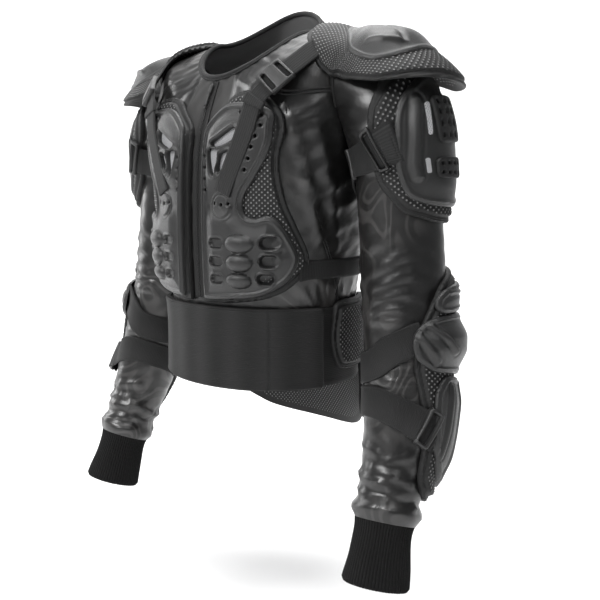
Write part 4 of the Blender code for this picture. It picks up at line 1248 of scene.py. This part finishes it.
def straps():
    place, at = band(
        "chest_webbing", "webbing", body_place, BODY_DEGREE, CHEST_STRAP_ROWS, 0.025, WEBBING, flat=True,
        cad=node("chest_strap"),
    )
    slide(
        "chest_ladder_slide", place, at(53.5), (0.034, 0.036, 0.0052), (-0.64, 0.64), 0.0024, 0.0024,
        node("chest_buckle"),
    )
    keeper = at(45.0)
    patch(
        "chest_strap_keeper", "webbing", place, (-0.0155, 0.0155, keeper, keeper + 0.012), 0.0012,
        strip_field(0.031, keeper, keeper + 0.012), moulded(0.0020, 0.0018, 0.0012), -0.0010,
    )
    place, at = band(
        "arm_webbing", "elastic", arm_place, ARM_DEGREE, ARM_STRAP_ROWS, 0.043, WEBBING,
        cad=node("arm_strap"),
    )
    slide(
        "arm_strap_slide", place, at(74.0), (0.054, 0.015, 0.0050), (0.0,), 0.0040, 0.0022,
        node("arm_slide"),
    )
    bar = at(128.0)
    patch(
        "arm_strap_bar", "plastic", place, (-0.025, 0.025, bar - 0.0045, bar + 0.0045), 0.0009,
        lambda u, v: 0.0042 - np.hypot(np.maximum(np.abs(u) - 0.0205, 0), v - bar),
        moulded(0.0016, 0.0034, 0.0038, 0.2), -0.0010,
    )
    tab = (at(51.0), at(70.0))

    def tab_top(u, v, inward):
        stitches = 0.0007 * bead(inward, 0.0036, 0.0007)
        return 0.0018 + 0.0016 * rounded(inward, 0.0012) - stitches

    patch(
        "arm_strap_tab", "webbing", place, (-0.0195, 0.0195, *tab), 0.0012, strip_field(0.037, *tab),
        tab_top, -0.0010,
    )
    band(
        "elbow_webbing_upper", "elastic", arm_place, ARM_DEGREE, UPPER_STRAP_ROWS, 0.040, WEBBING,
        edge=0.0005, cad=node("elbow_strap_upper"),
    )
    place, at = band(
        "elbow_webbing_lower", "elastic", arm_place, ARM_DEGREE, LOWER_STRAP_ROWS, 0.038, WEBBING,
        edge=0.0005, cad=node("elbow_strap_lower"),
    )
    slide(
        "elbow_strap_slide", place, at(24.0), (0.044, 0.020, 0.0050), (0.0,), 0.0050, 0.0022,
        node("elbow_buckle"),
    )
    band(
        "side_webbing", "elastic", body_place, BODY_DEGREE, SIDE_STRAP_ROWS, 0.024, WEBBING,
        cad=node("side_strap"),
    )


# Shoulder caps

CAP_FOAM_OUTLINE = (
    (2, -30), (18, -27), (33, -24), (46, -18), (56, -12), (61, 0), (62, 14), (62, 32), (61, 46), (58, 58),
    (50, 70), (40, 77), (26, 79), (6, 80), (-20, 82), (-46, 80), (-55, 70), (-58, 56), (-57, 38), (-52, 22),
    (-42, 4), (-28, -14), (-15, -26),
)
CAP_SHELL_OUTLINE = (
    (4, -5), (14, 0), (23, 7), (31, 14), (37, 23), (40, 34), (40, 47), (35, 58), (24, 62), (11, 62),
    (-2, 60), (-18, 58), (-32, 54), (-41, 45), (-43, 34), (-39, 22), (-31, 8), (-18, -5), (-4, -8),
)


def cap_loop(rows):
    """A closed smooth outline through points of degrees both ways, in metres."""
    return loop(rows, CAP_DEGREE) * (1, CAP_DEGREE / 0.001)


def shoulder_caps():
    foam = cap_loop(CAP_FOAM_OUTLINE)
    patch(
        "shoulder_pad", "foam", cap_place, outline_span(foam), 0.0018, within(foam),
        foam_top(CAP_SEAT), CAP_SEAT, closed=True, cad=node("shoulder_foam"), padded=0.9,
    )
    shell = cap_loop(CAP_SHELL_OUTLINE)
    low = CAP_SEAT + FOAM + CAP_CLEAR - 0.003

    def top(u, v, inward):
        dome = SHOULDER_DOME * step_up(inward, 0.0, 0.040)
        lift = low + dome + GUARD_SHELL * rounded(inward, 0.0024)
        lift += 0.0008 * bead(inward, 0.0052, 0.0016)
        upper = np.array([(-8, 3), (-4, 12), (4, 34), (10, 53)]) * CAP_DEGREE
        lower = np.array([(28, 38), (22, 46), (10, 53)]) * CAP_DEGREE
        lift -= 0.0026 * bead(beside(u, v, upper), 0, 0.0046)
        lift += 0.0030 * bead(beside(u, v, lower), 0, 0.0042)
        return lift

    patch(
        "shoulder_plate", "shell", cap_place, outline_span(shell), 0.0014, within(shell), top,
        CAP_SEAT + FOAM - 0.0010, cad=node("shoulder_shell"),
    )


# Arm and elbow guards

ARM_FOAM_OUTLINE = (
    (20, 128), (44, 132), (60, 140), (72, 150), (80, 169), (84, 190), (84, 211), (77, 238), (64, 256),
    (49, 272), (26, 280), (8, 285), (-24, 287), (-48, 280), (-74, 262), (-87, 238), (-88, 212), (-84, 184),
    (-78, 160), (-69, 136), (-44, 128), (-10, 126),
)
ARM_SHELL_OUTLINE = (
    (0, 138), (21, 144), (38, 153), (49, 171), (54, 195), (55, 215), (52, 237), (44, 254), (27, 263),
    (3, 267), (-20, 268), (-36, 264), (-56, 250), (-65, 232), (-67, 210), (-63, 184), (-58, 158),
    (-50, 146), (-30, 139),
)
HOLE_SPREAD = 0.9
ARM_BLOCKS = (("arm_block_upper", -12, 175, 42, 38, 4, 4), ("arm_block_lower", -6, 222, 40, 26, 2, 4))
PALE_SLOTS = (((15, 164), (18, 184)), ((24, 211), (23, 226)))
ELBOW_FOAM_OUTLINE = (
    (-24, 350), (0, 362), (13, 378), (24, 396), (33, 414), (41, 438), (43, 468), (33, 504), (22, 530),
    (18, 562), (15, 584), (4, 600), (-12, 608), (-50, 610), (-84, 604), (-104, 584), (-116, 548),
    (-122, 500), (-134, 456), (-134, 406), (-124, 370), (-100, 346), (-60, 340),
)
PLATE_OUTLINES = {
    "elbow_top_plate": (
        (19, 390), (18, 379), (8, 370), (-12, 364), (-45, 359), (-80, 361), (-100, 366), (-106, 376),
        (-103, 388), (-80, 393), (-45, 392), (-10, 397), (12, 398),
    ),
    "elbow_cup": (
        (22, 405), (36, 413), (45, 427), (46, 444), (40, 460), (22, 471), (0, 471), (-20, 469), (-46, 469),
        (-72, 465), (-100, 456), (-118, 440), (-123, 420), (-114, 404), (-90, 397), (-46, 396), (0, 400),
    ),
    "forearm_shell": (
        (-2, 474), (8, 479), (16, 492), (17, 506), (15, 532), (7, 556), (-12, 580), (-44, 592), (-76, 584),
        (-92, 562), (-99, 530), (-100, 500), (-96, 482), (-80, 475), (-46, 474),
    ),
}


def arm_guards():
    foam = loop(ARM_FOAM_OUTLINE, ARM_DEGREE)
    patch(
        "arm_pad", "foam", arm_place, outline_span(foam), 0.0014, within(foam),
        foam_top(ARM_SEAT), ARM_SEAT - 0.002, cad=node("arm_foam"), padded=0.9,
    )
    shell = loop(ARM_SHELL_OUTLINE, ARM_DEGREE)
    low = ARM_SEAT + FOAM + 0.0018
    bar = line(((23, 158), (31, 182), (36, 214), (34, 232)), ARM_DEGREE, 0.006)

    def top(u, v, inward):
        lift = low + GUARD_SHELL * rounded(inward, 0.0022) + 0.0016 * bead(inward, 0.0046, 0.0014)
        lift += 0.0040 * step_up(inward, 0.004, 0.030)
        lift += 0.0034 * step_up(0.0062 - beside(u, v, bar), 0, 0.0050)
        return lift - 0.0012 * bead(beside(u, v, bar), 0.0076, 0.0014)

    patch(
        "arm_plate", "shell", arm_place, outline_span(shell), 0.0012, within(shell), top,
        ARM_SEAT + FOAM - 0.0010, cad=node("arm_shell"),
    )
    for (start, end), word in zip(PALE_SLOTS, ("upper", "lower")):
        path = np.array([start, end]) * (ARM_DEGREE, 0.001)
        patch(
            f"arm_pale_slot_{word}", "mesh", arm_place, outline_span(path, 0.004), 0.0009,
            lambda u, v: 0.0022 - beside(u, v, path), level(low + GUARD_SHELL + 0.0052),
            low + GUARD_SHELL,
        )
    for name, turn, down, wide, high, rows, columns in ARM_BLOCKS:
        centre_u, centre_v = turn * ARM_DEGREE, down / 1000
        half_u, half_v = wide / 2000, high / 2000
        holes = [
            (
                centre_u + half_u * HOLE_SPREAD * (2 * j + 1 - columns) / columns,
                centre_v + half_v * HOLE_SPREAD * (2 * i + 1 - rows) / rows,
            )
            for i in range(rows)
            for j in range(columns)
        ]

        def field(u, v):
            value = box_inside(u - centre_u, v - centre_v, half_u, half_v, 0.007)
            for a, b in holes:
                value = np.minimum(value, np.hypot(u - a, v - b) - 0.0021)
            return value

        base = low + GUARD_SHELL
        span = (centre_u - half_u, centre_u + half_u, centre_v - half_v, centre_v + half_v)
        patch(
            name, "grille", arm_place, span, 0.0009, field, moulded(base + 0.0040, 0.0042, 0.0016, 0.5),
            base - 0.002, cad=node(name.replace("arm_block", "arm_vent")),
        )


def elbow_guards():
    foam = loop(ELBOW_FOAM_OUTLINE, ARM_DEGREE)
    patch(
        "elbow_pad", "foam", arm_place, outline_span(foam), 0.0016, within(foam),
        foam_top(ARM_SEAT), ARM_SEAT - 0.002, cad=node("elbow_foam"), padded=0.9,
    )
    low = ARM_SEAT + FOAM
    marks = {
        "elbow_top_plate": (0.0026, ((-2, 372, -60, 370),), 0.0030, 0.0016),
        "elbow_cup": (0.0105, ((41, 427, 21, 460), (29, 413, 1, 446), (-60, 402, -92, 448)), 0.0044, 0.0030),
        "forearm_shell": (
            0.0050, ((-4, 486, -4, 560), (-30, 480, -30, 584), (-60, 480, -60, 584)), 0.0040, 0.0020,
        ),
    }
    for name, outline in PLATE_OUTLINES.items():
        shape = loop(outline, ARM_DEGREE)
        dome, bars, half, high = marks[name]

        def top(u, v, inward):
            lift = low + 0.0018 + GUARD_SHELL * rounded(inward, 0.0022)
            lift += dome * step_up(inward, 0.002, 0.030) + 0.0014 * bead(inward, 0.0048, 0.0014)
            for bar in bars:
                away = beside(u, v, segment(bar, ARM_DEGREE))
                lift += high * step_up(half - away, 0, half * 0.8) * step_up(inward, 0.003, 0.008)
                lift -= 0.0010 * bead(away, half + 0.0014, 0.0011)
            return lift

        patch(
            name + "_moulded", "shell", arm_place, outline_span(shape), 0.0013, within(shape), top,
            low - 0.0010, cad=node(name),
        )


# Belt and back

BELT_ENDS = (0.396, 0.500)
PANEL_MIDDLE = 0.448
PANEL_HALF = 0.054


def belt():
    full = 360 * BODY_DEGREE

    def top(u, v, inward):
        ribs = 0.00022 * np.sin(v * math.tau / 0.0052)
        lift = SEAT + BELT_CLOTH * rounded(inward, 0.002, 0.6) + ribs
        return lift + 0.0008 * bead(inward, 0.0026, 0.0014)

    patch(
        "belt_elastic", "elastic", body_place, (0.0, full, *BELT_ENDS), 0.0036,
        between_ends(*BELT_ENDS), top, -0.0015, sides=MIDDLE, wrap=True,
        cad=("waist_belt",), sheet=cloth(0.90, 0.104, rests=("jacket_body_cloth",)),
    )
    reach = 77 * BODY_DEGREE
    seam = 47.6 * BODY_DEGREE

    def front_field(u, v):
        return box_inside(u, v - PANEL_MIDDLE, reach, PANEL_HALF, 0.006)

    def front_top(u, v, inward):
        lift = SEAT + BELT_CLOTH + 0.0010 + BELT_CLOTH * rounded(inward, 0.0022, 0.55)
        lift += 0.0006 * bead(inward, 0.0030, 0.0014)
        lift += 0.0016 * step_up(seam - u, 0, 0.0018) - 0.0007 * bead(u, seam - 0.005, 0.0008)
        lift -= 0.0007 * bead(inward, 0.0075, 0.0008)
        return lift + 0.0009 * np.sin(u * 26 + 1.0) * np.sin((v - 0.394) * 29)

    patch(
        "belt_front_panel", "elastic", body_place, (-reach, reach, 0.394, 0.502), 0.0026, front_field,
        front_top, SEAT + BELT_CLOTH - 0.001, sides=MIDDLE, cad=("belt_front",),
        sheet=cloth(0.40, 0.108, rests=("belt_elastic",)),
    )


# The back pad's outline down its left half, and each plate's start, end and half width in degrees
BACK_FOAM_HALF = (
    (180, 112), (196, 113), (206, 118), (217, 144), (221, 172), (222, 225), (219, 300), (222, 336),
    (226, 365), (229, 435), (237, 500), (245, 536), (244, 552), (238, 567), (222, 588), (204, 596),
    (180, 598),
)
BACK_PLATES = ((145, 188, 27), (200, 248, 30), (260, 308, 28), (320, 373, 30), (395, 470, 38))
PLATE_HALF = ((0, -1), (0.6, -0.96), (0.92, -0.7), (1, 0), (0.86, 0.66), (0.5, 0.94), (0, 1.0))
SPINE = 180 * BODY_DEGREE
WING_OUTLINE = (
    (84, 392), (83, 410), (82, 436), (84, 462), (88, 478), (98, 482), (112, 481), (122, 480),
    (122, 432), (122, 387), (104, 386), (90, 386),
)


def over_belt(u, v):
    return (BELT_CLOTH + 0.0027) * step_up(v, 0.350, 0.386)


def back_guard():
    foam = loop(both_halves(BACK_FOAM_HALF), BODY_DEGREE, 4)
    patch(
        "back_pad", "foam", body_place, outline_span(foam), 0.0027, within(foam),
        foam_top(lambda u, v: SEAT + over_belt(u, v)), lambda u, v: SEAT + over_belt(u, v) - 0.001,
        sides=MIDDLE, closed=True, cad=("back_foam",), padded=0.9,
    )
    for k, (start, end, half) in enumerate(BACK_PLATES, 1):
        mid, tall = (start + end) / 2, (end - start) / 2
        rows = [(180 + half * turn, mid + tall * down) for turn, down in PLATE_HALF]
        shape = loop(both_halves(rows), BODY_DEGREE)

        def top(u, v, inward):
            lift = SEAT + FOAM + over_belt(u, v) + 0.0010 + GUARD_SHELL * rounded(inward, 0.0024)
            lift += 0.0046 * step_up(inward, 0.0, 0.022) + 0.0012 * bead(inward, 0.0050, 0.0014)
            spine = np.abs(u - SPINE)
            lift += 0.0030 * bead(spine, 0.0, 0.0065) - 0.0014 * bead(spine, 0.0155, 0.0022)
            for shift in (-0.034, 0.034):
                upper = (shift + SPINE, mid / 1000 - 0.012)
                path = np.array([upper, (shift * 1.3 + SPINE, mid / 1000 + 0.010)])
                lift -= 0.0020 * step_up(0.0036 - beside(u, v, path), 0, 0.002)
            return lift

        patch(
            f"back_plate_{k}_moulded", "shell", body_place, outline_span(shape), 0.0016,
            within(shape), top, lambda u, v: SEAT + FOAM + over_belt(u, v) - 0.001, sides=MIDDLE,
            cad=(f"back_plate_{k}",),
        )
    wing = loop(WING_OUTLINE, BODY_DEGREE)
    base = SEAT + BELT_CLOTH + 0.0010
    patch(
        "back_wing_pad", "foam", body_place, outline_span(wing), 0.0014, within(wing),
        foam_top(base), base - 0.002, cad=node("back_wing"), padded=0.9,
    )


# Stage


def lamp(name, place, aim, size, power, tall=None):
    light = bpy.data.lights.new(name, "AREA")
    light.energy = power
    light.size = size
    if tall:
        light.shape = "RECTANGLE"
        light.size_y = tall
    made = bpy.data.objects.new(name, light)
    made.location = place
    made.rotation_mode = "QUATERNION"
    made.rotation_quaternion = (Vector(aim) - Vector(place)).to_track_quat("-Z", "Y")
    bpy.context.collection.objects.link(made)
    made.visible_camera = False


def studio():
    mesh = bpy.data.meshes.new("floor")
    wide, ground, back, bend = 9.0, -0.80, 3.2, 0.9
    rows = [(-wide, ground), (back - bend, ground)]
    for lean in np.linspace(0.1, math.pi / 2, 14):
        rows.append((back - bend + bend * math.sin(lean), ground + bend - bend * math.cos(lean)))
    rows.append((back, 6.0))
    cos, sin = math.cos(math.radians(45)), math.sin(math.radians(45))
    points = []
    for depth, height in rows:
        for across in (-wide, wide):
            points.append((across * cos - depth * sin, across * sin + depth * cos, height))
    faces = [(2 * i, 2 * i + 1, 2 * i + 3, 2 * i + 2) for i in range(len(rows) - 1)]
    mesh.from_pydata(points, [], faces)
    mesh.shade_smooth()
    floor = bpy.data.objects.new("floor", mesh)
    bpy.context.collection.objects.link(floor)
    look = Look("pale floor", specular=0.2)
    cloud = look.noise(3.0, 3.0)
    mesh.materials.append(look.finish(0.90 + cloud * 0.02, 0.75 + cloud * 0.05))
    world = bpy.data.worlds.new("studio")
    bpy.context.scene.world = world
    world.use_nodes = True
    world.node_tree.nodes["Background"].inputs["Color"].default_value = (0.97, 0.98, 1.0, 1.0)
    world.node_tree.nodes["Background"].inputs["Strength"].default_value = 0.24
    bpy.context.scene.view_settings.view_transform = "Standard"
    lamp("key softbox", (-0.2, -2.5, 1.2), (0.1, 0, -0.2), 0.8, 56)
    lamp("side softbox", (2.2, -1.4, 1.6), (0.1, 0, -0.3), 0.5, 8)
    lamp("top softbox", (0.5, -0.3, 2.2), (0, 0, -0.3), 0.7, 30)
    lamp("left strip", (-2.2, -0.6, 0.4), (0, 0, -0.4), 0.5, 26, 1.8)
    lamp("backdrop light", (-0.9, 0.9, 2.6), (-2.2, 2.2, -0.5), 2.4, 130)
    lamp("floor light", (0.9, -0.9, 2.6), (0.5, -0.5, -0.8), 2.4, 22)


def camera():
    data = bpy.data.cameras.new("camera")
    made = bpy.data.objects.new("camera", data)
    bpy.context.collection.objects.link(made)
    turn, pitch = math.radians(45), math.radians(6)
    away, height, shift = 1.209, -0.2312, 0.0507
    focal_pixels, photo_pixels, sensor = 843, 600, 36
    spot = Vector((away * math.sin(turn), -away * math.cos(turn), height))
    aside = Vector((math.cos(turn), math.sin(turn), 0)) * shift
    aim = (aside - Vector((spot.x, spot.y, 0))).normalized()
    ahead = Vector((aim.x * math.cos(pitch), aim.y * math.cos(pitch), -math.sin(pitch)))
    made.location = spot
    made.rotation_mode = "QUATERNION"
    made.rotation_quaternion = ahead.to_track_quat("-Z", "Y")
    data.sensor_width = sensor
    data.lens = focal_pixels / photo_pixels * sensor
    data.shift_y = -0.05
    data.clip_start, data.clip_end = 0.01, 100
    bpy.context.scene.camera = made


def main():
    jacket()
    sleeves()
    cuffs()
    zip_front()
    chest_guards()
    straps()
    shoulder_caps()
    arm_guards()
    elbow_guards()
    belt()
    back_guard()
    studio()
    camera()


main()
